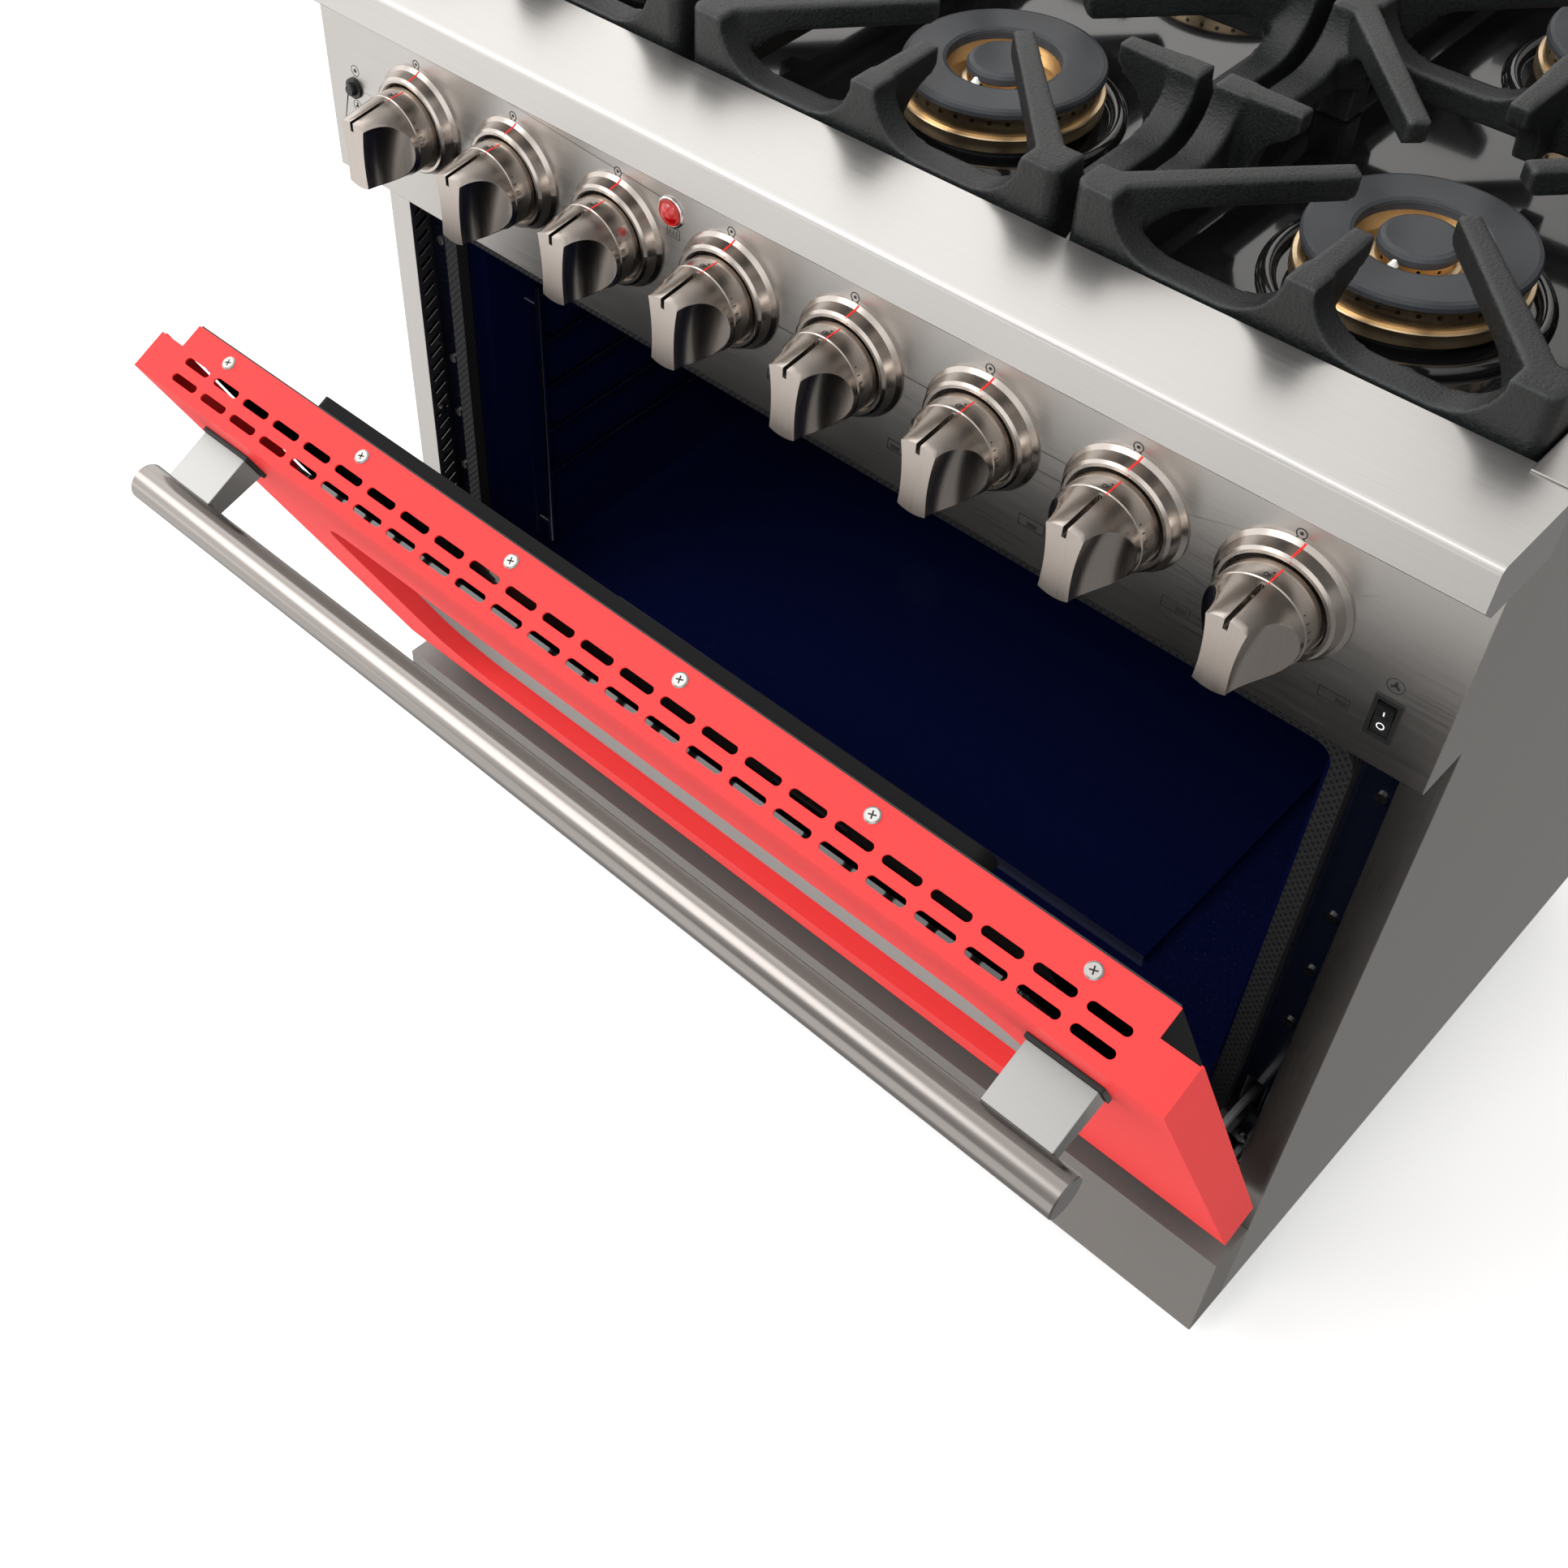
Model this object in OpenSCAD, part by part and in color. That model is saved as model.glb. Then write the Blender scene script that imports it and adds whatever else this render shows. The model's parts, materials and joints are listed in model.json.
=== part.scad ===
// Freestanding six-burner gas range with one convection oven.
// Millimetres, +Z up, X to the right, Y to the back.
// Every sub-part is drawn with Y = 0 on the cabinet front plane, then placed() moves it
// so that the origin is under the middle of the whole range, on the floor.

/* [Cabinet] */
// Overall width of the cabinet
body_w = 911; // [901:1:921]
// Back face of the cabinet behind the cabinet front plane
body_d = 640; // [635:1:670]
// Top of the front ledge above the floor
ledge_z = 914; // [910:1:920]
// Underside of the cabinet above the floor
leg_h = 70; // [60:1:80]
// Top of the kick plate above the floor
kick_top = 177; // [160:1:180]
// Sheet thickness of the cabinet panels
sheet = 1.2; // [0.8:0.1:1.5]

/* [Cooktop] */
// Distance between burner columns
burner_pitch = 289.2; // [287:0.2:291]
// Middle of the front burners behind the cabinet front plane
burner_front = 158; // [156:1:160]
// Top face of the grates above the floor
grate_top = 948.3; // [946:0.1:952]
// Outer radius of the outer burner cap
cap_r = 65.2; // [60:0.2:66]

/* [Control panel] */
// Distance between knob centres
knob_pitch = 100; // [96:1:101]
// Height of the knob centres
knob_z = 806; // [800:1:812]
// How far a knob stands out from the control panel
knob_h = 62; // [56:1:66]

/* [Door] */
// Angle by which the door stands open at rest
door_open = 26; // [0:1:88]
// Door width
door_w = 908; // [898:1:908]
// Top edge of the closed door
door_top = 720; // [716:1:721]
// Radius of the handle tube
handle_r = 15; // [12:0.5:18]
// Number of vent slots in each row along the top of the door
vent_count = 24; // [8:1:24]

/* [Hidden] */
$fn = 64;
eps = 0.01;
half_w = body_w / 2;
inner_w = half_w - sheet;

// front faces of the things that stand out in front of the cabinet front plane
ledge_y = -71;
ledge_back = 9;
panel_y = -42;
panel_bottom = 726;
lip_z = 874;
stile_in = 431;
side_top = 898;
kick_y = -42;

// cooktop
burner_rear = burner_front + burner_pitch;
burner_x = [-burner_pitch, 0, burner_pitch];
rail_w = 24.8;
pan_half = half_w - 25;
pan_y0 = ledge_back + 0.5;
pan_y1 = body_d - 41;
pan_z = 866;
pan_hole_r = 44;
rim_r = 77;
rim_bead = 6;
cap_top = 903.8;
cap_hole_r = 36;
inner_cap_r = 23.5;
ring_r = 63.5;
ring_top = 897;
ring_floor = 880;

// grate
grate_half = 139.6;
grate_y0 = 13;
grate_y1 = 2 * burner_front + burner_pitch - grate_y0;
grate_mid = (grate_y0 + grate_y1) / 2;
rail_t = 20;
rail_top = ledge_z + 1;
rail_bottom = 897;
foot_lift = 0.3;
post_w = 26;
fillet_r = 33;
finger_h = 17;

// switches
rocker_x = 422;
rocker_z = 763;
rocker_tilt = 8;
button_pos = [-426, 802];
lamp_pos = [-102, 841];

// door in its closed place
door_front = -45;
door_bottom = 220;
door_sheet = 1.5;
pivot_y = -7;
pivot_z = 226;
door_half = door_w / 2;
flange_d = 34.6;
plate_half = 428.5;
plate_d = 52.8;
tab_d = 33;
window_half = 340;
window_top = door_top - 128;
window_bottom = door_bottom + 88;
window_r = 55;
window_depth = 15.5;
glass_top = door_top - 80;
liner_y0 = -12;
liner_y1 = 9;
liner_half = 427;
plug_y = 17;
duct_y = 19;
handle_half = 428;
handle_out = 60.4;
handle_drop = 62.6;
post_x = 384.6;
post_half = 24.7;
post_top = door_top - 57;
pad_t = 3.5;
pivot_r = 4;
fit_gap = 0.05;
hinge_x = 416;
arc_r = 80;

// oven
flange_y = 20;
oven_half = 380;
oven_floor = 273;
oven_top = 660;
oven_back = 558.5;
liner_t = 1.5;
mouth_half = 388;
mouth_bottom = 268;
mouth_top = 665;
mouth_r = 14;
gasket_w = 14;
gasket_y = 9.4;
fan_z = 455;
fan_y = 536;
fan_r = 82;
shaft_r = 4;
guide_x = 372;
guide_y = [77, 500];
guide_z = [381, 430, 479, 528, 577];
guide_r = 3;

// gas and electric connections at the back
inlet_x = 380;
inlet_z = 120;
inlet_r = 10.5;
inlet_out = 18;
manifold_y = 6;
manifold_r = 9;
supply_x = half_w - 13.5;

// whole-range middle in Y, from the handle's front to the gas inlet's end
handle_dy = door_front - handle_out - pivot_y;
handle_dz = door_top - handle_drop - pivot_z;
handle_front = pivot_y + handle_dy * cos(door_open) - handle_dz * sin(door_open) - handle_r;
front_most = min(handle_front, ledge_y);
y_mid = (front_most + body_d + inlet_out) / 2;

module placed() translate([0, -y_mid, 0]) children();

module on_door() {
    placed()
        translate([0, pivot_y, pivot_z])
            rotate([door_open, 0, 0])
                translate([0, -pivot_y, -pivot_z])
                    children();
}

module twin() {
    children();
    mirror([1, 0, 0]) children();
}

module block(x, y, z)
    translate([x[0], y[0], z[0]])
        cube([x[1] - x[0], y[1] - y[0], z[1] - z[0]]);

// a (Y, Z) outline drawn along X, centred
module extrude_x(w) rotate([90, 0, 90]) linear_extrude(w, center = true) children();

// an (X, Z) outline drawn along Y
module extrude_y(y0, y1) translate([0, y1, 0]) rotate([90, 0, 0]) linear_extrude(y1 - y0) children();

module rounded(x, z, r) {
    translate([x[0] + r, z[0]]) square([x[1] - x[0] - 2 * r, z[1] - z[0]]);
    translate([x[0], z[0] + r]) square([x[1] - x[0], z[1] - z[0] - 2 * r]);
    for (cx = [x[0] + r, x[1] - r], cz = [z[0] + r, z[1] - r])
        translate([cx, cz]) circle(r);
}

module rod(p, q, r) {
    d = q - p;
    translate(p)
        rotate([0, acos(d[2] / norm(d)), atan2(d[1], d[0])])
            cylinder(h = norm(d), r = r);
}

// a bent tube: straight rods with a ball at each bend
module bent_rod(points, r) {
    for (i = [0 : len(points) - 2]) rod(points[i], points[i + 1], r);
    for (i = [1 : len(points) - 2]) translate(points[i]) sphere(r);
}

// something turned about Y, with its height pointing to the front
module facing_front(x, y, z) translate([x, y, z]) rotate([90, 0, 0]) children();

module slot_x(len, wide, h) {
    for (s = [-1, 1]) translate([s * (len - wide) / 2, 0, 0]) cylinder(h = h, r = wide / 2);
    translate([-(len - wide) / 2, -wide / 2, 0]) cube([len - wide, wide, h]);
}

module at_burners()
    for (bx = burner_x, by = [burner_front, burner_rear])
        translate([bx, by, 0]) children();

function knob_x(i) = (i - 3.5) * knob_pitch;

// ---------- cabinet ----------

module side_panel() {
    louvre_pitch = 13;
    louvre_z0 = 215;
    difference() {
        union() {
            block([-half_w, -inner_w], [0, body_d - sheet], [leg_h, side_top]);
            block([-half_w, -stile_in], [0, sheet], [leg_h, panel_bottom + 20]);
            block([-stile_in - sheet, -stile_in], [0, flange_y], [leg_h, panel_bottom]);
        }
        for (i = [0 : 37])
            translate([-stile_in - 2 * sheet, 10, louvre_z0 + i * louvre_pitch])
                rotate([28, 0, 0])
                    block([0, 4 * sheet], [-6.5, 6.5], [-1.9, 1.9]);
    }
}

module left_side_panel() color("#b9b5b1") placed() side_panel();

module right_side_panel() color("#b9b5b1") placed() mirror([1, 0, 0]) side_panel();

module back_panel() {
    vent_pitch = 60;
    color("#9a9b9c") placed() difference() {
        block([-half_w, half_w], [body_d - sheet, body_d], [leg_h, side_top]);
        for (row = [700, 760], i = [-6 : 6])
            translate([i * vent_pitch, body_d - 2 * sheet, row])
                rotate([-90, 0, 0]) slot_x(44, 8, 4 * sheet);
        for (row = [190, 250], i = [-3 : 3])
            translate([i * vent_pitch, body_d - 2 * sheet, row])
                rotate([-90, 0, 0]) slot_x(44, 8, 4 * sheet);
        translate([inlet_x, body_d - 2 * sheet, inlet_z])
            rotate([-90, 0, 0]) cylinder(h = 4 * sheet, r = inlet_r + 4);
        translate([-inlet_x, body_d - 2 * sheet, 150])
            rotate([-90, 0, 0]) cylinder(h = 4 * sheet, r = 12);
    }
}

leg_x = 410;
leg_y = [60, 580];
leg_screw_r = 5;

module base_pan() {
    lip = 30;
    color("#8f9091") placed() difference() {
        union() {
            block([-inner_w, inner_w], [sheet, body_d - sheet], [leg_h, leg_h + 1.5]);
            block([-inner_w, inner_w], [2 * sheet, 3 * sheet], [leg_h, leg_h + lip]);
            block([-inner_w, inner_w], [body_d - 3 * sheet, body_d - 2 * sheet], [leg_h, leg_h + lip]);
        }
        for (lx = [-leg_x, leg_x], ly = leg_y)
            translate([lx, ly, leg_h - 5]) cylinder(h = 15, r = leg_screw_r + fit_gap);
        for (i = [-5 : 5], ly = [180, 320, 460])
            translate([i * 70, ly, leg_h - 5]) slot_x(36, 8, 15);
        twin() block([stile_in - 0.3, stile_in + sheet + 0.3], [0, flange_y + 0.3],
                     [leg_h - 1, leg_h + lip + 1]);
    }
}

module legs() {
    foot_r = 24;
    sleeve_r = 19;
    color("#a5a6a8") placed()
        for (lx = [-leg_x, leg_x], ly = leg_y)
            translate([lx, ly, 0]) {
                cylinder(h = 6, r = foot_r);
                translate([0, 0, 6]) cylinder(h = 6, r1 = foot_r, r2 = 13);
                translate([0, 0, 12]) cylinder(h = 22, r = 12);
                translate([0, 0, 34]) cylinder(h = leg_h - 34, r = sleeve_r);
                translate([0, 0, leg_h - eps]) cylinder(h = 16, r = leg_screw_r);
            }
}

module kick_plate() {
    color("#b9b5b1") placed() {
        block([-half_w, half_w], [kick_y, kick_y + sheet], [leg_h, kick_top]);
        block([-half_w, half_w], [kick_y, 0], [kick_top - sheet, kick_top]);
        twin() block([inner_w, half_w], [kick_y, 0], [leg_h, kick_top]);
        block([-half_w, half_w], [kick_y, kick_y + 18], [leg_h, leg_h + sheet]);
    }
}

module control_panel() {
    hole_r = 7;
    color("#bdb9b5") placed() difference() {
        union() {
            block([-half_w, half_w], [panel_y, panel_y + sheet], [panel_bottom, lip_z]);
            block([-half_w, half_w], [panel_y, 0], [panel_bottom, panel_bottom + sheet]);
            twin() block([inner_w, half_w], [panel_y, 0], [panel_bottom, lip_z]);
        }
        for (i = [0 : 7])
            facing_front(knob_x(i), panel_y + 5, knob_z) cylinder(h = 10, r = hole_r);
        facing_front(lamp_pos[0], panel_y + 5, lamp_pos[1]) cylinder(h = 10, r = 6.5);
        facing_front(button_pos[0], panel_y + 5, button_pos[1]) cylinder(h = 10, r = 6.5);
        twin() block([rocker_x - 6.8, rocker_x + 6.8], [panel_y - 5, panel_y + 5],
                     [rocker_z - 13.4, rocker_z + 13.4]);
    }
}

module top_ledge() {
    face_bottom = 885.2;
    lip_y = ledge_y + 12;
    nose_r = 4;
    nose = [ledge_y + nose_r, ledge_z - nose_r];
    outline = concat(
        [[ledge_back, ledge_z]],
        [for (a = [90 : 15 : 180]) nose + nose_r * [cos(a), sin(a)]],
        [[ledge_y, face_bottom], [lip_y, lip_z], [panel_y, lip_z]]);
    inner_nose_r = nose_r - sheet;
    inner = concat(
        [[panel_y, lip_z + sheet], [lip_y + 0.5, lip_z + sheet], [ledge_y + sheet, face_bottom + 0.5]],
        [for (a = [180 : -15 : 90]) nose + inner_nose_r * [cos(a), sin(a)]],
        [[ledge_back - sheet, ledge_z - sheet], [ledge_back - sheet, side_top], [ledge_back, side_top]]);
    color("#d8d5d1") placed() {
        extrude_x(body_w) polygon(concat(outline, inner));
        twin()
            translate([half_w - sheet / 2, 0, 0])
                extrude_x(sheet)
                    polygon(concat(outline, [[0, lip_z], [0, side_top], [ledge_back, side_top]]));
    }
}

module cooktop_pan() {
    wall_top = 911;
    color("#17181a") placed() {
        difference() {
            block([-pan_half, pan_half], [pan_y0, pan_y1], [pan_z - sheet, wall_top]);
            block([sheet - pan_half, pan_half - sheet], [pan_y0 + sheet, pan_y1 - sheet],
                  [pan_z, wall_top + 1]);
            at_burners() translate([0, 0, pan_z - 5]) cylinder(h = 10, r = pan_hole_r);
        }
        at_burners()
            translate([0, 0, pan_z - sheet])
                rotate_extrude() {
                    translate([rim_r, sheet]) intersection() {
                        circle(rim_bead);
                        translate([-10, 0]) square([20, 10]);
                    }
                    translate([rim_r - rim_bead, 0]) square([2 * rim_bead, sheet]);
                }
    }
}

module side_rails() {
    lap = 8;
    y1 = body_d - 40;
    color("#c9c5c1") placed() twin() {
        block([half_w - rail_w, half_w], [ledge_back - lap, y1], [ledge_z, ledge_z + sheet]);
        block([inner_w, half_w], [ledge_back, y1], [side_top, ledge_z + eps]);
        block([half_w - rail_w, half_w - rail_w + sheet], [ledge_back, y1], [880, ledge_z + eps]);
    }
}

module rear_trim() {
    trim_top = 930;
    y0 = body_d - 40;
    color("#b9b5b1") placed() difference() {
        union() {
            block([-inner_w, inner_w], [y0, y0 + sheet], [880, trim_top]);
            block([-half_w, half_w], [y0, body_d], [trim_top - sheet, trim_top]);
            block([-half_w, half_w], [body_d - sheet, body_d], [side_top, trim_top]);
            twin() block([inner_w - eps, half_w], [y0, body_d], [side_top, trim_top]);
        }
        for (i = [-9 : 9])
            translate([i * 46, y0 + 20, trim_top - 5]) slot_x(34, 9, 10);
    }
}

// ---------- oven ----------

flange_screw_x = 420;
flange_screw_z = [245, 400, 461, 520, 640];
flange_screw_r = 1.8;

module face_frame() {
    top = 830;
    slot_w = 8;
    color("#101530") placed() difference() {
        block([-430.8, 430.8], [flange_y, flange_y + sheet], [leg_h + 2, top]);
        extrude_y(flange_y - 5, flange_y + 5)
            rounded([-mouth_half, mouth_half], [mouth_bottom, mouth_top], mouth_r);
        twin() for (z = flange_screw_z)
            facing_front(flange_screw_x, flange_y + 5, z) cylinder(h = 10, r = flange_screw_r + fit_gap);
        twin() {
            block([hinge_x - slot_w, hinge_x + slot_w], [flange_y - 5, flange_y + 5], [286, 318]);
            block([hinge_x - 10, hinge_x + 10], [flange_y - 5, flange_y + 5], [212, 240]);
        }
    }
}

module oven_liner() {
    lip_y = 33;
    color("#0b1030") placed() difference() {
        union() {
            extrude_y(flange_y + sheet, lip_y)
                rounded([-mouth_half - liner_t, mouth_half + liner_t],
                        [mouth_bottom - liner_t, mouth_top + liner_t], mouth_r + liner_t);
            extrude_y(lip_y - liner_t, oven_back + liner_t)
                rounded([-oven_half - liner_t, oven_half + liner_t],
                        [oven_floor - liner_t, oven_top + liner_t], 12 + liner_t);
        }
        extrude_y(flange_y - 5, lip_y - liner_t)
            rounded([-mouth_half, mouth_half], [mouth_bottom, mouth_top], mouth_r);
        extrude_y(lip_y - 5, oven_back)
            rounded([-oven_half, oven_half], [oven_floor, oven_top], 12);
        translate([0, oven_back - 5, fan_z]) rotate([-90, 0, 0]) cylinder(h = 15, r = 8);
    }
}

module oven_floor_panel() {
    half = 287;
    y = [80, 540];
    h = 7;
    color("#0d1233") placed() difference() {
        block([-half, half], y, [oven_floor, oven_floor + h]);
        block([liner_t - half, half - liner_t], [y[0] + liner_t, y[1] - liner_t],
              [oven_floor - 1, oven_floor + h - liner_t]);
    }
}

module insulation_wrap() {
    inner_half = oven_half + liner_t + 0.3;
    color("#d9cf9a") placed() difference() {
        block([-404, 404], [34, oven_back + 26], [262, 690]);
        block([-inner_half, inner_half], [33, oven_back + 2], [261, oven_top + 2]);
        translate([0, oven_back, fan_z]) rotate([-90, 0, 0]) cylinder(h = 40, r = 52);
    }
}

module oven_gasket() {
    color("#1c1c1e") placed()
        extrude_y(gasket_y, flange_y) difference() {
            rounded([-mouth_half - 1 - gasket_w, mouth_half + 1 + gasket_w],
                    [mouth_bottom - 1 - gasket_w, mouth_top + 1 + gasket_w], mouth_r + gasket_w);
            rounded([-mouth_half - 1, mouth_half + 1], [mouth_bottom - 1, mouth_top + 1], mouth_r);
        }
}

module rack_guides() {
    bottom = 300;
    top = 588;
    stub = oven_half - guide_x;
    color("#d6d8da") placed() twin() {
        for (gy = guide_y)
            rod([guide_x, gy, bottom], [guide_x, gy, top], guide_r);
        for (gz = guide_z)
            rod([guide_x, guide_y[0], gz], [guide_x, guide_y[1], gz], guide_r);
        for (gy = guide_y, gz = [bottom + 20, top - 20])
            rod([guide_x, gy, gz], [guide_x + stub, gy, gz], guide_r);
    }
}

module bake_burner() {
    z = 240;
    r = 9;
    color("#a8aaac") placed() {
        bent_rod([[-200, 470, z], [-200, 110, z], [200, 110, z], [200, 470, z]], r);
        rod([0, 110, z], [0, 560, z], r);
        for (sx = [-150, 150])
            block([sx - 10, sx + 10], [108, 112], [leg_h + 1.5, z - 6]);
        block([-10, 10], [500, 504], [leg_h + 1.5, z - 6]);
    }
}

module broil_burner() {
    half = 150;
    y = [150, 430];
    bottom = 638;
    color("#8b8d8f") placed() difference() {
        union() {
            block([-half, half], y, [bottom, oven_top]);
            rod([0, y[1], 648], [0, oven_back, 648], 7);
        }
        for (i = [-4 : 4])
            block([i * 32 - 12, i * 32 + 12], [y[0] + 15, y[1] - 15], [bottom - 1, bottom + 12]);
    }
}

module fan_cover() {
    half = 130;
    y0 = fan_y - 7;
    color("#10153a") placed() difference() {
        extrude_y(y0, oven_back) rounded([-half, half], [fan_z - half, fan_z + half], 18);
        extrude_y(y0 + liner_t, oven_back + 1)
            rounded([liner_t - half, half - liner_t], [fan_z - half + liner_t, fan_z + half - liner_t], 17);
        for (i = [-4 : 4])
            translate([0, y0 + 5, fan_z + i * 18]) rotate([90, 0, 0]) slot_x(150, 8, 10);
        for (i = [-4 : 4], s = [-1, 1])
            block([s * half - 5, s * half + 5], [y0 + 8, oven_back - 8], [fan_z + i * 22 - 5, fan_z + i * 22 + 5]);
    }
}

module fan_motor() {
    y = [oven_back + 26, oven_back + 64];
    color("#6c6e70") placed() difference() {
        union() {
            translate([0, y[0], fan_z]) rotate([-90, 0, 0]) cylinder(h = y[1] - y[0], r = 38);
            for (a = [90, 210, 330])
                translate([30 * cos(a), oven_back + liner_t, fan_z + 30 * sin(a)])
                    rotate([-90, 0, 0]) cylinder(h = 30, r = 3);
        }
        translate([0, y[0] - 1, fan_z]) rotate([-90, 0, 0]) cylinder(h = 26, r = shaft_r + fit_gap);
    }
}

module convection_fan() {
    color("#9c9ea0") placed()
        translate([0, fan_y, fan_z]) {
            rotate([-90, 0, 0]) cylinder(h = 2, r = 40);
            rotate([-90, 0, 0]) cylinder(h = 16, r = 12);
            rotate([-90, 0, 0]) cylinder(h = oven_back + 46 - fan_y, r = shaft_r);
            for (i = [0 : 7])
                rotate([0, i * 45, 0]) block([20, fan_r], [0, 15], [-0.8, 0.8]);
        }
}

module oven_lamp() {
    color("#f4ead0") placed()
        translate([-280, 0, 600]) {
            translate([0, oven_back - 6, 0]) rotate([-90, 0, 0]) cylinder(h = 6, r = 30);
            intersection() {
                translate([0, oven_back - 6, 0]) sphere(24);
                block([-40, 40], [oven_back - 40, oven_back - 5], [-40, 40]);
            }
        }
}

// ---------- gas and electrics ----------

module gas_manifold() {
    elbow_y = 600;
    drop_y = body_d - 40;
    end_y = body_d + inlet_out;
    color("#8d8f92") placed() {
        bent_rod([[-385, manifold_y, knob_z], [supply_x, manifold_y, knob_z],
                  [supply_x, elbow_y, knob_z], [supply_x, drop_y, inlet_z],
                  [inlet_x, drop_y, inlet_z], [inlet_x, end_y - 30, inlet_z]], manifold_r);
        translate([inlet_x, end_y - 30, inlet_z]) rotate([-90, 0, 0]) cylinder(h = 30, r = inlet_r);
    }
}

// [knob number, burner column, burner row] for the six burner valves
feeds = [[0, 0, 0], [1, 0, 1], [4, 1, 0], [5, 1, 1], [6, 2, 1], [7, 2, 0]];
valve_y = -14;
tube_z = 842;
base_r = 20.1;
stem_r = 3.95;

module gas_valves() {
    body_r = 13;
    color("#b08d57") placed() {
        for (i = [0 : 7]) {
            facing_front(knob_x(i), manifold_y - manifold_r - 0.02, knob_z)
                cylinder(h = 34, r = body_r);
            facing_front(knob_x(i), -30, knob_z) cylinder(h = 58, r = stem_r);
        }
        for (f = feeds) {
            by = f[2] == 0 ? burner_front : burner_rear;
            aim = [burner_x[f[1]] - knob_x(f[0]), by - valve_y] / norm([burner_x[f[1]] - knob_x(f[0]), by - valve_y]);
            rod([knob_x(f[0]), valve_y, knob_z], [knob_x(f[0]), valve_y, tube_z], 3);
            translate([knob_x(f[0]), valve_y, tube_z]) sphere(3);
            rod([knob_x(f[0]), valve_y, tube_z],
                [burner_x[f[1]] - base_r * aim[0], by - base_r * aim[1], tube_z], 3);
        }
    }
}

module ignition_module() {
    color("#e6e3da") placed()
        difference() {
            block([150, 250], [body_d - 34, body_d - sheet], [640, 700]);
            for (i = [0 : 5])
                translate([165 + i * 14, body_d - 20, 695]) cylinder(h = 10, r = 3);
        }
}

module power_inlet() {
    color("#2b2c2e") placed()
        difference() {
            block([-inlet_x - 34, -inlet_x + 34], [body_d, body_d + 14], [120, 180]);
            translate([-inlet_x, body_d - 1, 150]) rotate([-90, 0, 0]) cylinder(h = 20, r = 10);
        }
}

// ---------- control panel fittings ----------

module knob_bezels() {
    color("#b7b1ab") placed()
        for (i = [0 : 7])
            facing_front(knob_x(i), panel_y, knob_z)
                rotate_extrude()
                    polygon([[31.2, 0], [41.3, 0], [41.3, 1.4], [38.8, 4], [36.4, 10.4],
                             [34.6, 12], [32.6, 12], [31.2, 10.4]]);
}

module indicator_lamp() {
    color("#e01010") placed()
        facing_front(lamp_pos[0], panel_y, lamp_pos[1]) {
            translate([0, 0, -16]) cylinder(h = 16, r = 6);
            cylinder(h = 2.4, r = 9);
            intersection() {
                translate([0, 0, -3]) sphere(9);
                cylinder(h = 8, r = 9);
            }
        }
}

module switch_frames() {
    color("#1b1b1c") placed() {
        twin() difference() {
            union() {
                block([rocker_x - 8, rocker_x + 8], [panel_y - 2, panel_y],
                      [rocker_z - 14.8, rocker_z + 14.8]);
                block([rocker_x - 6.6, rocker_x + 6.6], [panel_y - 1, panel_y + 16],
                      [rocker_z - 13.2, rocker_z + 13.2]);
            }
            block([rocker_x - 5.5, rocker_x + 5.5], [panel_y - 4, panel_y + 9],
                  [rocker_z - 12.2, rocker_z + 12.2]);
        }
        facing_front(button_pos[0], panel_y, button_pos[1]) difference() {
            union() {
                cylinder(h = 2, r = 8);
                translate([0, 0, -16]) cylinder(h = 17, r = 6.3);
            }
            translate([0, 0, -12]) cylinder(h = 20, r = 5.1);
        }
    }
}

// rocker: two flat faces that meet in a shallow valley, tilted to its off side
module rocker() {
    translate([0, panel_y + 2, rocker_z])
        rotate([rocker_tilt, 0, 0])
            extrude_x(10)
                polygon([[5, -8], [-4.6, -11.2], [-3.4, 0], [-4.6, 11.2], [5, 8]]);
}

module rocker_left() color("#242425") placed() translate([-rocker_x, 0, 0]) rocker();

module rocker_right() color("#242425") placed() translate([rocker_x, 0, 0]) rocker();

module push_button() {
    color("#202021") placed()
        facing_front(button_pos[0], panel_y, button_pos[1]) {
            translate([0, 0, -7]) cylinder(h = 12, r = 4.6);
            translate([0, 0, 5 - eps]) cylinder(h = 1, r1 = 4.6, r2 = 3.8);
        }
}

// knob with its axis along Z, its pointer along +Y and its back at Z = 3
module knob() {
    back = 3;
    skirt_r = 30;
    skirt_top = 28;
    edge = 0.6;
    face_r = 25.8;
    scoop_r = 34;
    scoop_ring = 133.5;
    waist = [9.4, -8];
    wall = 3;
    hub_r = 9;
    bore_depth = 46;
    slot = [1.5, 18.8, 30.5];
    difference() {
        union() {
            translate([0, 0, back]) cylinder(h = skirt_top - edge - back, r = skirt_r);
            translate([0, 0, skirt_top - edge]) cylinder(h = edge, r1 = skirt_r, r2 = skirt_r - edge);
            translate([0, 0, skirt_top])
                cylinder(h = knob_h - skirt_top, r1 = skirt_r - edge, r2 = face_r);
        }
        for (s = [-1, 1])
            translate([s * (waist[0] + scoop_r + scoop_ring), waist[1], knob_h])
                rotate_extrude() translate([scoop_ring, 0]) circle(scoop_r);
        difference() {
            translate([0, 0, back - 1]) cylinder(h = 21, r = skirt_r - wall);
            translate([0, 0, back - 2]) cylinder(h = 23, r = hub_r);
        }
        translate([0, 0, back - 1]) cylinder(h = bore_depth, r = stem_r + fit_gap);
        translate([-slot[0], slot[1], slot[2] + slot[0]]) cube([2 * slot[0], 20, knob_h]);
        translate([0, slot[1], slot[2] + slot[0]]) rotate([-90, 0, 0]) cylinder(h = 20, r = slot[0]);
    }
}

module place_knob(i) color("#a9a29b") placed() facing_front(knob_x(i), panel_y, knob_z) knob();

module knob_1() place_knob(0);
module knob_2() place_knob(1);
module knob_3() place_knob(2);
module knob_4() place_knob(3);
module knob_5() place_knob(4);
module knob_6() place_knob(5);
module knob_7() place_knob(6);
module knob_8() place_knob(7);

// ---------- burners ----------

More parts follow.
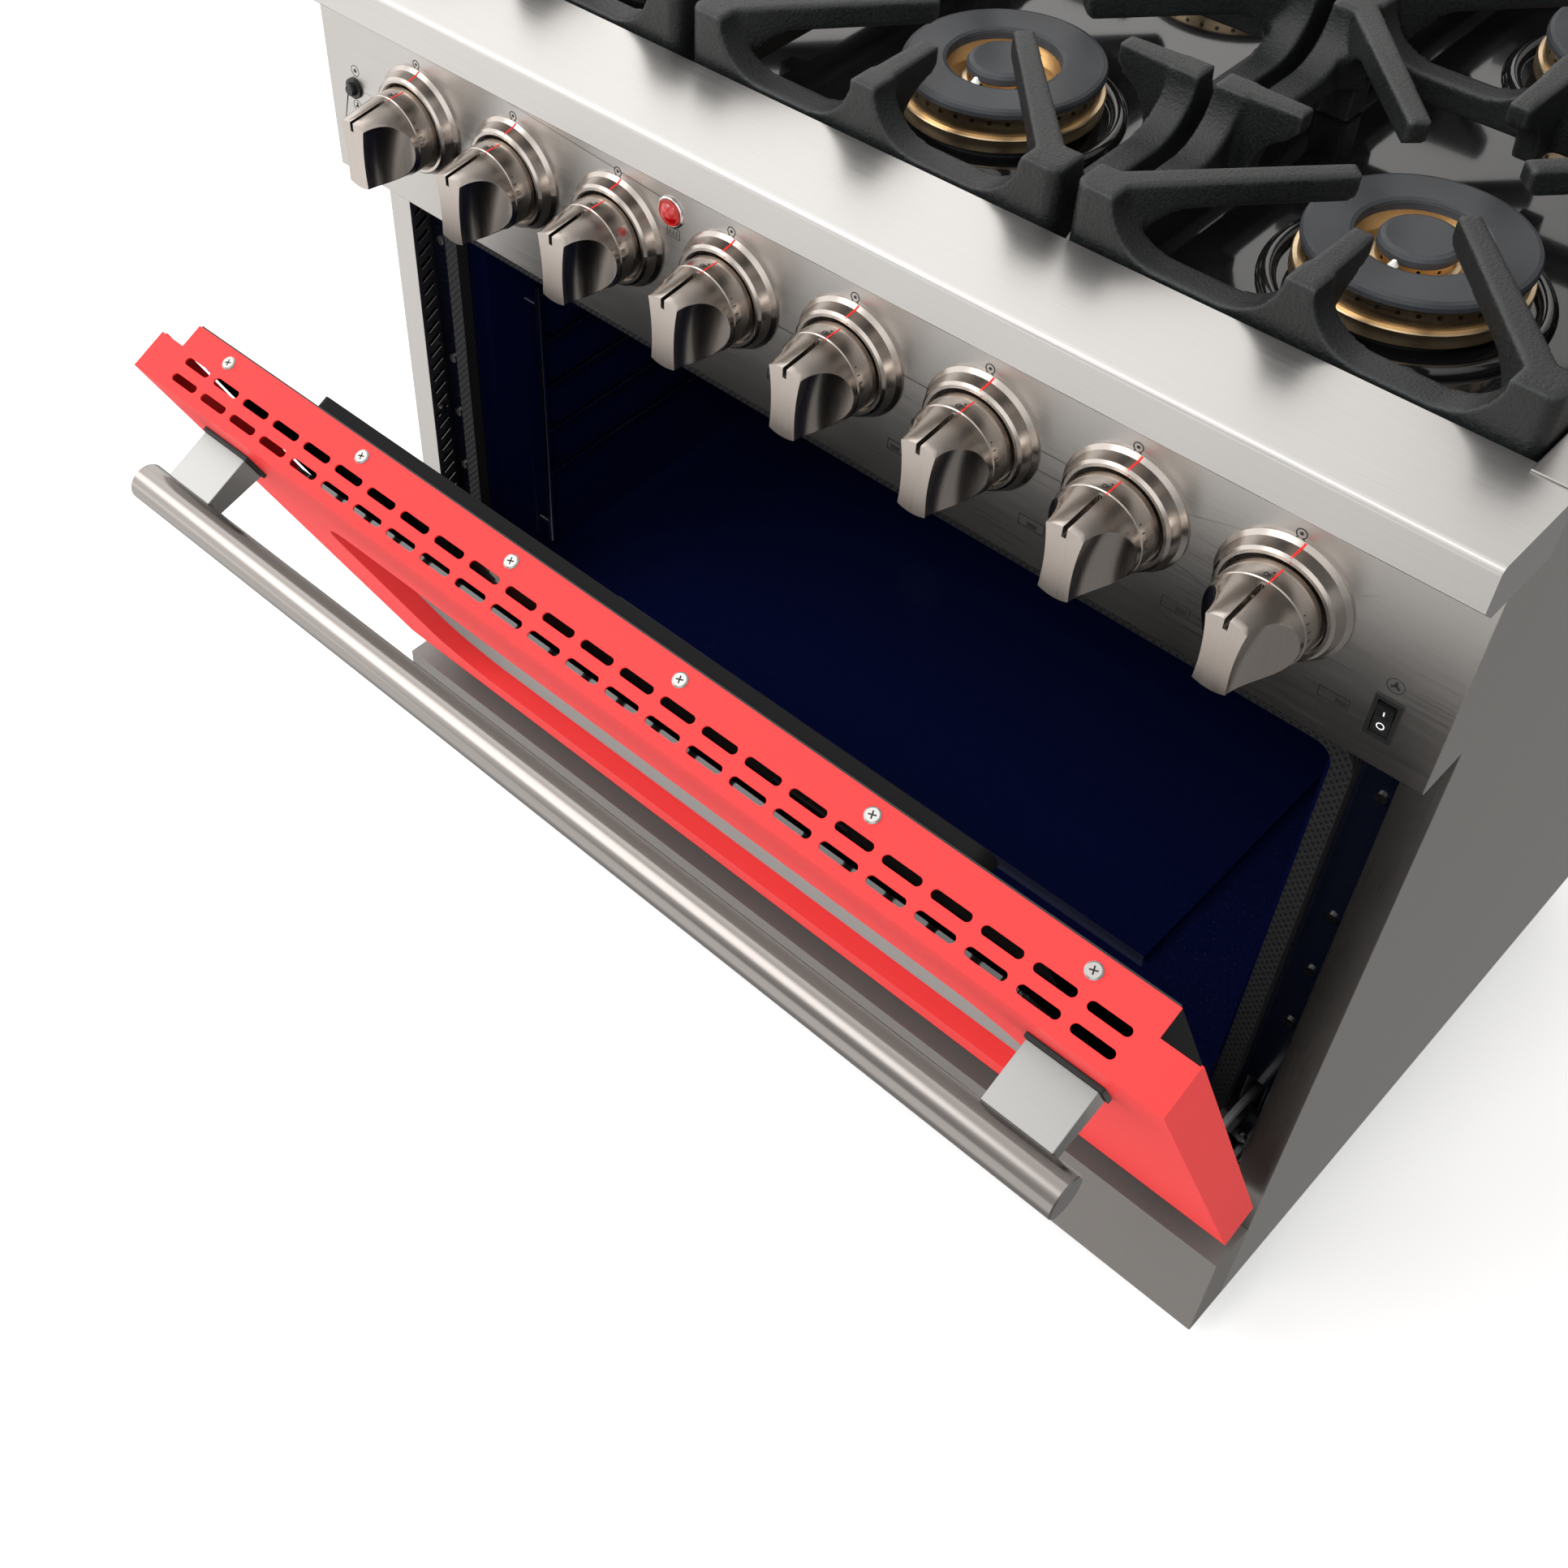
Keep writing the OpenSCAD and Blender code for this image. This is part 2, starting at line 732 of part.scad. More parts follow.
electrode_r = 3;
electrode_off = 29;
electrode_top = 899;

module burner_bases() {
    color("#3b3d3f") placed() at_burners() difference() {
        union() {
            translate([0, 0, 830]) cylinder(h = 22, r = 20);
            translate([0, 0, 850]) cylinder(h = 20, r = 40);
            translate([0, 0, pan_z]) cylinder(h = 8, r = 56);
        }
        translate([0, 0, 836]) cylinder(h = 60, r = 15);
        translate([0, -electrode_off, 840]) cylinder(h = 60, r = electrode_r + 0.2);
    }
}

module burner_rings() {
    outer_ports = 36;
    inner_ports = 12;
    wall = 4;
    port_r = 1.2;
    outer_port_r = 1.6;
    port_z = ring_top - 3;
    skirt_r = ring_r + 3;
    hub_r = 22.5;
    hub_skirt_r = 26;
    color("#c79a4b") placed() at_burners() difference() {
        rotate_extrude() {
            polygon([[42, 874], [60, 874], [63, 875.5], [skirt_r, 875.5], [skirt_r, 884],
                     [skirt_r - 0.6, 884.8], [ring_r, 885.2],
                     [ring_r, ring_top], [ring_r - wall, ring_top], [ring_r - wall, 882],
                     [42, 882], [42, ring_top], [39, ring_top], [39, 883], [hub_skirt_r, 886],
                     [hub_skirt_r, 889], [hub_skirt_r - 0.8, 890], [hub_r, 890.4],
                     [hub_r, ring_top - 1], [18, ring_top - 1], [18, ring_floor], [42, ring_floor]]);
        }
        for (i = [0 : outer_ports - 1])
            rotate([0, 0, i * 360 / outer_ports])
                translate([ring_r - wall - 2, 0, port_z]) rotate([0, 90, 0])
                    cylinder(h = 10, r = outer_port_r);
        for (i = [0 : inner_ports - 1])
            rotate([0, 0, i * 360 / inner_ports])
                translate([15, 0, port_z]) rotate([0, 90, 0]) cylinder(h = 10, r = port_r);
        translate([0, -electrode_off, 870]) cylinder(h = 60, r = electrode_r + 0.2);
    }
}

module outer_caps() {
    color("#34373a") placed() at_burners()
        rotate_extrude()
            polygon([[cap_hole_r, ring_top], [cap_r - 1.5, ring_top], [cap_r, ring_top + 1.5],
                     [cap_r, cap_top - 2.6], [cap_r - 1, cap_top - 0.8], [cap_r - 3.4, cap_top],
                     [cap_hole_r + 3, cap_top], [cap_hole_r + 0.6, cap_top - 0.9],
                     [cap_hole_r, cap_top - 2.4]]);
}

module inner_caps() {
    h = 8;
    z = ring_top - 1;
    color("#34373a") placed() at_burners()
        rotate_extrude()
            polygon([[0, z], [inner_cap_r - 1, z], [inner_cap_r, z + 1.2], [inner_cap_r, z + h - 3],
                     [inner_cap_r - 1.2, z + h - 1], [inner_cap_r - 4, z + h], [0, z + h]]);
}

module igniters() {
    color("#f1efe9") placed() at_burners()
        translate([0, -electrode_off, 0]) {
            translate([0, 0, tube_z + 3.5]) cylinder(h = electrode_top - tube_z - 3.5, r = electrode_r);
            translate([0, 0, electrode_top]) cylinder(h = 3, r1 = electrode_r, r2 = 1.2);
        }
}

// ---------- grates ----------

// side outline of one grate rail: posts rise from a low band with concave fillets
module rail_outline(len, posts) {
    rise = grate_top - rail_top;
    r = min(fillet_r, rise);
    difference() {
        translate([-len / 2, rail_bottom]) square([len, grate_top - rail_bottom]);
        for (i = [0 : len(posts) - 2]) {
            a = posts[i][0] + posts[i][1] / 2;
            b = posts[i + 1][0] - posts[i + 1][1] / 2;
            translate([a + r, rail_top]) square([b - a - 2 * r, rise + 1]);
            translate([a, rail_top + r]) square([b - a, rise - r + 1]);
            for (c = [a + r, b - r]) translate([c, rail_top + r]) circle(r);
        }
    }
}

// one finger from s = 0 at the rail to s = len at its tip, with its top at grate_top
module finger(len, base_w, tip_w) {
    r = 30;
    z0 = grate_top - finger_h;
    intersection() {
        rotate([90, 0, 0]) translate([0, 0, -base_w])
            linear_extrude(2 * base_w) difference() {
                translate([-2, rail_bottom]) square([len + 2, grate_top - rail_bottom]);
                translate([26 + r, rail_bottom - 1]) square([len, z0 - rail_bottom + 1]);
                translate([26, rail_bottom - 1]) square([len, z0 - r - rail_bottom + 1]);
                translate([26 + r, z0 - r]) circle(r);
                translate([len, z0 - 1]) rotate([0, 0, 45]) square([8, 8], center = true);
            }
        linear_extrude(grate_top + 1)
            polygon([[-2, -base_w / 2], [len, -tip_w / 2], [len, tip_w / 2], [-2, base_w / 2]]);
    }
}

module grate_quarter_fingers() {
    reach = 32;
    run = [grate_half - 8 - reach, burner_front - grate_y0 - 8 - reach];
    translate([-grate_half + 8, grate_y0 + 8, 0])
        rotate([0, 0, atan2(run[1], run[0])]) finger(norm(run), 17, 13);
}

module grate() {
    post = post_w;
    span_x = 2 * grate_half;
    span_y = grate_y1 - grate_y0;
    x_posts = [[-grate_half, 2 * post], [0, 18], [grate_half, 2 * post]];
    y_posts = [[-span_y / 2, 2 * post], [burner_front - grate_mid, 18], [0, 2 * post],
               [burner_rear - grate_mid, 18], [span_y / 2, 2 * post]];
    intersection() {
        union() {
            extrude_y(grate_y0, grate_y0 + rail_t) rail_outline(span_x, x_posts);
            extrude_y(grate_y1 - rail_t, grate_y1) rail_outline(span_x, x_posts);
            extrude_y(grate_mid - 9, grate_mid + 9) rail_outline(span_x, x_posts);
            for (s = [-1, 1])
                translate([s * (grate_half - rail_t / 2), grate_mid, 0])
                    extrude_x(rail_t) rail_outline(span_y, y_posts);
            for (m = [0, 1]) translate([0, m * 2 * grate_mid, 0]) mirror([0, m, 0])
                for (n = [0, 1]) mirror([n, 0, 0]) {
                    grate_quarter_fingers();
                    translate([0, 2 * burner_front, 0]) mirror([0, 1, 0])
                        grate_quarter_fingers();
                    translate([-grate_half + 6, burner_front, 0]) finger(50.6, 17, 13);
                }
            for (m = [0, 1]) translate([0, m * 2 * grate_mid, 0]) mirror([0, m, 0]) {
                translate([0, grate_y0 + 6, 0]) rotate([0, 0, 90]) finger(58, 17, 13);
                translate([0, grate_mid - 3, 0]) rotate([0, 0, -90]) finger(58, 17, 13);
            }
            for (fx = [-1, 1], fy = [grate_y0 + 12, grate_mid, grate_y1 - 12])
                translate([fx * (grate_half - 12), fy, (pan_z + foot_lift + rail_top) / 2])
                    cube([22, 22, rail_top - pan_z - foot_lift], center = true);
        }
        translate([0, 0, pan_z - 5])
            linear_extrude(grate_top - pan_z + 10)
                rounded([-grate_half, grate_half], [grate_y0, grate_y1], 9);
    }
}

module grate_left() color("#3c3e40") placed() translate([-burner_pitch, 0, 0]) grate();
module grate_middle() color("#3c3e40") placed() grate();
module grate_right() color("#3c3e40") placed() translate([burner_pitch, 0, 0]) grate();

// ---------- door ----------

vent_pitch = 35;
vent_d = [11.1, 26.1];
screw_d = 42.1;
screw_pitch = 152.4;
door_screw_r = 2;

module door_skin() {
    opening_x = [-window_half, window_half];
    opening_z = [window_bottom, window_top];
    back = door_front + flange_d;
    color("#e03535") on_door() difference() {
        union() {
            difference() {
                block([-door_half, door_half], [door_front, back], [door_bottom, door_top]);
                block([door_sheet - door_half, door_half - door_sheet],
                      [door_front + door_sheet, back + 1],
                      [door_bottom + door_sheet, door_top - door_sheet]);
                block([-door_half - 1, door_half + 1], [door_front + tab_d, back + 1],
                      [door_top - 4, door_top + 1]);
            }
            block([-plate_half, plate_half], [door_front + 5, door_front + plate_d],
                  [door_top - door_sheet, door_top]);
            extrude_y(door_front, door_front + window_depth)
                rounded([opening_x[0] - door_sheet, opening_x[1] + door_sheet],
                        [opening_z[0] - door_sheet, opening_z[1] + door_sheet], window_r + door_sheet);
        }
        extrude_y(door_front - 1, door_front + window_depth + 1) rounded(opening_x, opening_z, window_r);
        for (d = vent_d, i = [0 : vent_count - 1])
            translate([(i - (vent_count - 1) / 2) * vent_pitch, door_front + d, door_top - 5])
                slot_x(28, 6.5, 10);
        for (i = [0 : 5])
            translate([(i - 2.5) * screw_pitch, door_front + screw_d, door_top - 5])
                cylinder(h = 10, r = 2.2);
        twin() block([hinge_x - 12, hinge_x + 12], [-23, back + 1],
                     [door_bottom - 1, door_bottom + 5]);
        block([-58, 26], [back - 9, back + 1], [door_bottom - 1, door_bottom + 5]);
    }
}

module door_window_glass() {
    y = door_front + window_depth;
    color("#26282b") on_door()
        extrude_y(y, y + 4)
            rounded([-window_half - 12, window_half + 12], [window_bottom - 12, glass_top], 30);
}

inner_window = [[-290, 290], [350, 600]];

module door_inner_frame() {
    t = 1.5;
    bottom = 246;
    top = 716;
    color("#161617") on_door() difference() {
        union() {
            difference() {
                block([-liner_half, liner_half], [liner_y0, liner_y1], [bottom, top]);
                block([t - liner_half, liner_half - t], [liner_y0 - 1, liner_y1 - t], [bottom + t, top - t]);
            }
            extrude_y(liner_y1 - t, plug_y) rounded([-370, 370], [290, 640], 25);
            extrude_y(liner_y1 - t, duct_y) rounded([-297, 297], [690, top], 8);
        }
        extrude_y(liner_y1 - 2 * t, plug_y - t) rounded([t - 370, 370 - t], [290 + t, 640 - t], 24);
        extrude_y(liner_y1 - 2 * t, duct_y - t) rounded([t - 297, 297 - t], [690 + t, top - t], 7);
        extrude_y(liner_y1, plug_y + 1) rounded(inner_window[0], inner_window[1], 20);
        twin() block([hinge_x - 6, hinge_x + 6], [liner_y0 - 1, liner_y1 + 1], [bottom - 1, 322]);
        for (i = [0 : 5])
            translate([(i - 2.5) * screw_pitch, door_front + screw_d, top - 5])
                cylinder(h = 10, r = door_screw_r + fit_gap);
    }
}

module door_inner_glass() {
    color("#2c2f33") on_door()
        extrude_y(plug_y - 1.5 - 4, plug_y - 1.5)
            rounded([inner_window[0][0] - 12, inner_window[0][1] + 12],
                    [inner_window[1][0] - 12, inner_window[1][1] + 12], 20);
}

handle_y = door_front - handle_out;
handle_z = door_top - handle_drop;

module handle_tube() {
    wall = 1.8;
    cap = 2;
    color("#c4beb8") on_door()
        translate([0, handle_y, handle_z])
            rotate([0, 90, 0]) difference() {
                union() {
                    translate([0, 0, 1 - handle_half]) cylinder(h = 2 * handle_half - 2, r = handle_r);
                    for (s = [0, 1]) mirror([0, 0, s])
                        translate([0, 0, handle_half - 1])
                            cylinder(h = 1, r1 = handle_r, r2 = handle_r - 1);
                }
                translate([0, 0, cap - handle_half])
                    cylinder(h = 2 * (handle_half - cap), r = handle_r - wall);
            }
}

module handle_posts() {
    depth = handle_out - handle_r + 2;
    drop = 26;
    color("#cfcac5") on_door() difference() {
        for (s = [-1, 1])
            translate([s * post_x, 0, 0])
                extrude_x(2 * post_half)
                    polygon([[door_front - pad_t, post_top], [door_front - depth, post_top],
                             [door_front - depth, post_top - 18], [door_front - pad_t, post_top - drop]]);
        translate([0, handle_y, handle_z]) rotate([0, 90, 0])
            cylinder(h = 2 * handle_half + 10, r = handle_r, center = true);
    }
}

module handle_pads() {
    margin = 2;
    color("#19191a") on_door()
        for (s = [-1, 1])
            block([s * post_x - post_half - margin, s * post_x + post_half + margin],
                  [door_front - pad_t, door_front], [post_top - 28, post_top + margin]);
}

module door_screws() {
    head_r = 5.4;
    head_h = 1.6;
    color("#d9dadb") on_door()
        for (i = [0 : 5])
            translate([(i - 2.5) * screw_pitch, door_front + screw_d, door_top])
                difference() {
                    union() {
                        cylinder(h = head_h - 0.6, r = head_r);
                        translate([0, 0, head_h - 0.6]) cylinder(h = 0.6, r1 = head_r, r2 = head_r - 1);
                        translate([0, 0, -9]) cylinder(h = 9 + eps, r = door_screw_r);
                    }
                    for (a = [0, 90])
                        rotate([0, 0, a + 20]) translate([-2.6, -0.5, head_h - 1]) cube([5.2, 1, 2]);
                }
}

module hinge_arms() {
    boss_r = 11;
    arm_half = 4;
    arc_w = 10;
    color("#77797c") on_door() twin() {
        translate([hinge_x, 0, 0]) extrude_x(2 * arm_half) {
            translate([pivot_y, pivot_z]) circle(boss_r);
            translate([pivot_y - 12, pivot_z]) square([16, 104]);
        }
        translate([hinge_x, pivot_y, pivot_z]) extrude_x(4)
            intersection() {
                difference() {
                    circle(arc_r + arc_w / 2);
                    circle(arc_r - arc_w / 2);
                }
                polygon([[0, 0], [0, 120], [120, 120], [120, -56]]);
            }
        translate([hinge_x, pivot_y, pivot_z]) rotate([0, 90, 0])
            cylinder(h = 17.6, r = pivot_r, center = true);
    }
}

module hinge_receivers() {
    half = 10;
    t = 3;
    color("#8b8d90") placed() twin()
        translate([hinge_x, 0, 0]) difference() {
            union() {
                block([-half, half], [flange_y + sheet, 118], [180, 330]);
                block([-half + 1, half - 1], [pivot_y, 40], [pivot_z - 10, pivot_z + 10]);
                translate([1 - half, pivot_y, pivot_z]) rotate([0, 90, 0])
                    cylinder(h = 2 * half - 2, r = 10);
            }
            block([t - half, half - t], [flange_y, 115], [183, 327]);
            block([-5, 5], [pivot_y - 20, 60], [pivot_z - 20, pivot_z + 20]);
            translate([-half - 1, pivot_y, pivot_z]) rotate([0, 90, 0])
                cylinder(h = 2 * half + 2, r = pivot_r + fit_gap);
            block([-5, 5], [flange_y, flange_y + 10], [286, 318]);
        }
}

module cabinet_screws() {
    head_r = 4;
    color("#bfc1c3") placed() twin() {
        for (z = flange_screw_z)
            facing_front(flange_screw_x, flange_y, z) {
                cylinder(h = 1.8, r = head_r);
                translate([0, 0, -6]) cylinder(h = 6, r = flange_screw_r);
            }
        for (z = [461, 700])
            translate([stile_in, 10, z + 2]) rotate([0, -90, 0]) cylinder(h = 1.6, r = head_r);
    }
}

left_side_panel();
right_side_panel();
back_panel();
base_pan();
legs();
kick_plate();
control_panel();
top_ledge();
cooktop_pan();
side_rails();
rear_trim();
face_frame();
oven_liner();
oven_floor_panel();
insulation_wrap();
oven_gasket();
rack_guides();
bake_burner();
broil_burner();
fan_cover();
fan_motor();
oven_lamp();
gas_manifold();
gas_valves();
ignition_module();
power_inlet();
knob_bezels();
indicator_lamp();
switch_frames();
burner_bases();
burner_rings();
outer_caps();
inner_caps();
igniters();
hinge_receivers();
cabinet_screws();
door_skin();
door_window_glass();
door_inner_frame();
door_inner_glass();
handle_tube();
handle_posts();
handle_pads();
door_screws();
hinge_arms();
convection_fan();
knob_1();
knob_2();
knob_3();
knob_4();
knob_5();
knob_6();
knob_7();
knob_8();
rocker_left();
rocker_right();
push_button();
grate_left();
grate_middle();
grate_right();
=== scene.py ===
"""Looks of the freestanding gas range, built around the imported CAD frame. Metres, +Z up."""

import json
import math

import bmesh
import bpy
from mathutils import Matrix, Vector
from mathutils.bvhtree import BVHTree


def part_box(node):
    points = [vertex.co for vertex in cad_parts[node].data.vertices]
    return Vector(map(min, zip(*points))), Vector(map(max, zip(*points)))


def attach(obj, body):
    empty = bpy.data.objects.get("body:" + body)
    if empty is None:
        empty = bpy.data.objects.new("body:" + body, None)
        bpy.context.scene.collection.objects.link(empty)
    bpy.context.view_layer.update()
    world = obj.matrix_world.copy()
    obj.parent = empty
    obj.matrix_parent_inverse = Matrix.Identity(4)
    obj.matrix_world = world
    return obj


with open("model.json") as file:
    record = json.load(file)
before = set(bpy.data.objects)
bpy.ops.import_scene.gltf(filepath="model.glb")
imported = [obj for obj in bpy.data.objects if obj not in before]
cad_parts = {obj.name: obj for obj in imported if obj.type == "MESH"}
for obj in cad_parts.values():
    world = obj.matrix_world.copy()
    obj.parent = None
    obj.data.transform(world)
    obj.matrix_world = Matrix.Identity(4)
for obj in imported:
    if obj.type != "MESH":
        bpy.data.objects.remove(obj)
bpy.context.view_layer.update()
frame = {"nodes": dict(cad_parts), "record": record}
NODES = frame["nodes"]
MM = 0.001

# ---------------------------------------------------------------- places, from the frame
y_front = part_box("left_side_panel")[0].y
KNOBS = [f"knob_{i}" for i in range(1, 9)]
DOOR_OPEN = math.radians(26)
# millimetres from the cabinet's front plane: the knobs' row, the control panel, the door's screws
KNOB_PITCH, KNOB_Z, KNOB_SKIRT_R = 100, 806, 30.0
PANEL_Y = -42
SCREW_PITCH, SCREW_Y = 152.4, -2.9
hinge = next(j for j in frame["record"]["behaviour"]["joints"] if j["name"] == "door_hinge")
pivot = Vector(hinge["pos_m"])
door_matrix = Matrix.Translation(pivot) @ Matrix.Rotation(DOOR_OPEN, 4, "X") @ Matrix.Translation(-pivot)


def at(x, y, z):
    """A place in millimetres from the cabinet's front plane, as metres in the row frame."""
    return Vector((x * MM, y_front + y * MM, z * MM))


# ---------------------------------------------------------------- materials
class Shader:
    """A small node tree round one Principled BSDF."""

    def __init__(self, name, color, metallic=0.0, roughness=0.5, **sockets):
        self.mat = bpy.data.materials.new(name)
        self.mat.use_nodes = True
        self.tree = self.mat.node_tree
        self.nodes = self.tree.nodes
        self.links = self.tree.links
        self.bsdf = self.nodes["Principled BSDF"]
        self.set("Base Color", (*color, 1.0))
        self.set("Metallic", metallic)
        self.set("Roughness", roughness)
        for key, value in sockets.items():
            self.set(key.replace("_", " "), value)
        self.coords = self.nodes.new("ShaderNodeTexCoord")
        self.height = None

    def set(self, socket, value):
        self.bsdf.inputs[socket].default_value = value

    def noise(self, scale, stretch=(1, 1, 1), detail=3.0, rough=0.5):
        """Noise with scale features per metre, where stretch multiplies them per axis."""
        mapping = self.nodes.new("ShaderNodeMapping")
        mapping.inputs["Scale"].default_value = stretch
        self.links.new(self.coords.outputs["Object"], mapping.inputs["Vector"])
        tex = self.nodes.new("ShaderNodeTexNoise")
        tex.inputs["Scale"].default_value = scale
        tex.inputs["Detail"].default_value = detail
        tex.inputs["Roughness"].default_value = rough
        self.links.new(mapping.outputs["Vector"], tex.inputs["Vector"])
        return tex.outputs["Fac"]

    def span(self, fac, low, high, start=0.3, end=0.7):
        """fac from start..end becomes low..high."""
        node = self.nodes.new("ShaderNodeMapRange")
        node.inputs["From Min"].default_value = start
        node.inputs["From Max"].default_value = end
        node.inputs["To Min"].default_value = low
        node.inputs["To Max"].default_value = high
        self.links.new(fac, node.inputs["Value"])
        return node.outputs["Result"]

    def math(self, op, a, b=None):
        node = self.nodes.new("ShaderNodeMath")
        node.operation = op
        for i, v in enumerate((a, b)):
            if v is None:
                continue
            if isinstance(v, (int, float)):
                node.inputs[i].default_value = v
            else:
                self.links.new(v, node.inputs[i])
        return node.outputs[0]

    def tint(self, fac, dark, light):
        """Base colour runs from dark to light with fac."""
        ramp = self.nodes.new("ShaderNodeMix")
        ramp.data_type = "RGBA"
        ramp.inputs["A"].default_value = (*dark, 1.0)
        ramp.inputs["B"].default_value = (*light, 1.0)
        self.links.new(fac, ramp.inputs["Factor"])
        self.links.new(ramp.outputs["Result"], self.bsdf.inputs["Base Color"])
        return self

    def gloss(self, fac, low, high):
        self.links.new(self.span(fac, low, high), self.bsdf.inputs["Roughness"])
        return self

    def bump(self, fac, depth, strength=1.0):
        """depth in metres."""
        node = self.nodes.new("ShaderNodeBump")
        node.inputs["Strength"].default_value = strength
        node.inputs["Distance"].default_value = depth
        self.links.new(fac, node.inputs["Height"])
        if self.height is not None:
            self.links.new(self.height, node.inputs["Normal"])
        self.height = node.outputs["Normal"]
        self.links.new(self.height, self.bsdf.inputs["Normal"])
        return self

    def raised(self):
        """0 on flats and in hollows, up to 1 along raised edges."""
        geo = self.nodes.new("ShaderNodeNewGeometry")
        return self.span(geo.outputs["Pointiness"], 0.0, 1.0, 0.52, 0.60)


def brushed(name, color, axis, rough=(0.24, 0.40), grain=1.0, contrast=0.06, metallic=1.0):
    """Brushed steel: very fine grain that runs along one axis, faint clouds and wipe marks."""
    stretch = [2600.0, 2600.0, 2600.0]
    stretch["XYZ".index(axis)] = 14.0
    s = Shader(name, color, metallic=metallic, roughness=sum(rough) / 2)
    fine = s.noise(1.0, stretch, detail=3.0, rough=0.7)
    cloud = s.noise(5.0, detail=3.0)
    shade = s.math("ADD", s.math("MULTIPLY", fine, 0.75), s.math("MULTIPLY", cloud, 0.25))
    dark = [c * (1.0 - contrast) for c in color]
    light = [min(1.0, c * (1.0 + contrast)) for c in color]
    s.tint(s.span(shade, 0.0, 1.0, 0.35, 0.65), dark, light)
    s.gloss(s.math("ADD", s.math("MULTIPLY", fine, 0.6), s.math("MULTIPLY", cloud, 0.4)), *rough)
    s.bump(fine, 0.00001 * grain, 0.5)
    return s.mat


def enamel(name, color, rough=0.08, speck=0.25, wave=0.4):
    """Glossy vitreous enamel: tiny pits, faint waviness, specks of lighter glaze."""
    s = Shader(name, color, roughness=rough, Coat_Weight=0.6, Coat_Roughness=0.05)
    spots = s.noise(900.0, detail=2.0)
    flow = s.noise(14.0, detail=2.0)
    s.tint(s.span(spots, 0.0, speck, 0.62, 0.74), color, [min(1.0, c * 3 + 0.05) for c in color])
    s.gloss(flow, rough, rough + 0.07)
    s.bump(flow, 0.0006, wave * 0.25)
    s.bump(spots, 0.00002, 0.2)
    return s.mat


def cast(name, color, rough=(0.42, 0.62), lump=1.0):
    """Sand-cast iron under matt enamel: pebbly skin; raised edges a little lighter, partly rubbed wear and
    partly a painted highlight.
    """
    s = Shader(name, color, roughness=0.5, Specular_IOR_Level=0.45)
    pebble = s.noise(520.0, detail=3.0, rough=0.6)
    grit = s.noise(2200.0, detail=2.0)
    patch = s.noise(16.0, detail=2.0)
    wear_and_highlight = s.raised()
    shade = s.math("ADD", s.math("MULTIPLY", patch, 0.5), s.math("MULTIPLY", pebble, 0.5))
    # raised edges lighten the colour: rubbed wear, and a painted highlight along them
    lit = s.math("ADD", s.span(shade, 0.0, 0.22, 0.35, 0.65), s.math("MULTIPLY", wear_and_highlight, 0.8))
    s.tint(lit, [c * 0.7 for c in color], [c * 5.0 for c in color])
    s.gloss(pebble, *rough)
    s.bump(pebble, 0.00035 * lump, 0.55)
    s.bump(grit, 0.00008 * lump, 0.4)
    return s.mat


def turned(name, color, rough=(0.16, 0.30), rings=1500.0):
    """Metal turned on a lathe about Z: fine rings up the side."""
    s = Shader(name, color, metallic=1.0, roughness=0.2)
    ring = s.noise(1.0, (20.0, 20.0, rings), detail=3.0)
    cloud = s.noise(30.0, detail=3.0)
    s.tint(s.span(cloud, 0.0, 1.0, 0.3, 0.7), [c * 0.82 for c in color], [min(1.0, c * 1.08) for c in color])
    s.gloss(ring, *rough)
    s.bump(ring, 0.00003, 0.4)
    return s.mat


def paint(name, color, rough=0.30, specular=0.35, painted_reflection=None):
    """Baked paint: orange peel, fine dust, slight depth of colour. When a reflection colour is given, other
    surfaces reflect it in that plain colour: a painted reflection.
    """
    s = Shader(name, color, roughness=rough, Coat_Roughness=0.2, Specular_IOR_Level=specular)
    peel = s.noise(420.0, detail=2.0)
    dust = s.noise(2600.0, detail=1.0)
    cloud = s.noise(5.0, detail=2.0)
    s.tint(s.span(cloud, 0.0, 1.0, 0.3, 0.7), [c * 0.96 for c in color], color)
    s.gloss(dust, rough, rough + 0.10)
    s.bump(peel, 0.00005, 0.25)
    # painted reflection: glossy rays from other surfaces see a plain diffuse colour in place of this paint
    if painted_reflection is not None:
        path = s.nodes.new("ShaderNodeLightPath")
        plain = s.nodes.new("ShaderNodeBsdfDiffuse")
        plain.inputs["Color"].default_value = (*painted_reflection, 1.0)
        mix = s.nodes.new("ShaderNodeMixShader")
        s.links.new(path.outputs["Is Glossy Ray"], mix.inputs[0])
        s.links.new(s.bsdf.outputs[0], mix.inputs[1])
        s.links.new(plain.outputs[0], mix.inputs[2])
        s.links.new(mix.outputs[0], s.nodes["Material Output"].inputs["Surface"])
    return s.mat


def plastic(name, color, rough=0.42, grain=1500.0):
    s = Shader(name, color, roughness=rough)
    fine = s.noise(grain, detail=2.0)
    s.gloss(fine, rough - 0.06, rough + 0.10)
    s.tint(s.span(fine, 0.0, 1.0), [c * 0.85 for c in color], [c * 1.2 for c in color])
    s.bump(fine, 0.00005, 0.4)
    return s.mat


def braid(name, color):
    """Woven glass-fibre sleeve: two sets of slanted strands."""
    s = Shader(name, color, roughness=0.7, Specular_IOR_Level=0.3)
    waves = []
    for angle in (0.7, -0.7):
        mapping = s.nodes.new("ShaderNodeMapping")
        mapping.inputs["Rotation"].default_value = (0, angle, angle)
        s.links.new(s.coords.outputs["Object"], mapping.inputs["Vector"])
        wave = s.nodes.new("ShaderNodeTexWave")
        wave.inputs["Scale"].default_value = 95.0
        wave.inputs["Distortion"].default_value = 0.6
        s.links.new(mapping.outputs["Vector"], wave.inputs["Vector"])
        waves.append(wave.outputs["Fac"])
    weave = s.math("MAXIMUM", *waves)
    s.tint(weave, [c * 0.4 for c in color], [c * 1.8 for c in color])
    s.bump(weave, 0.0008, 0.8)
    return s.mat


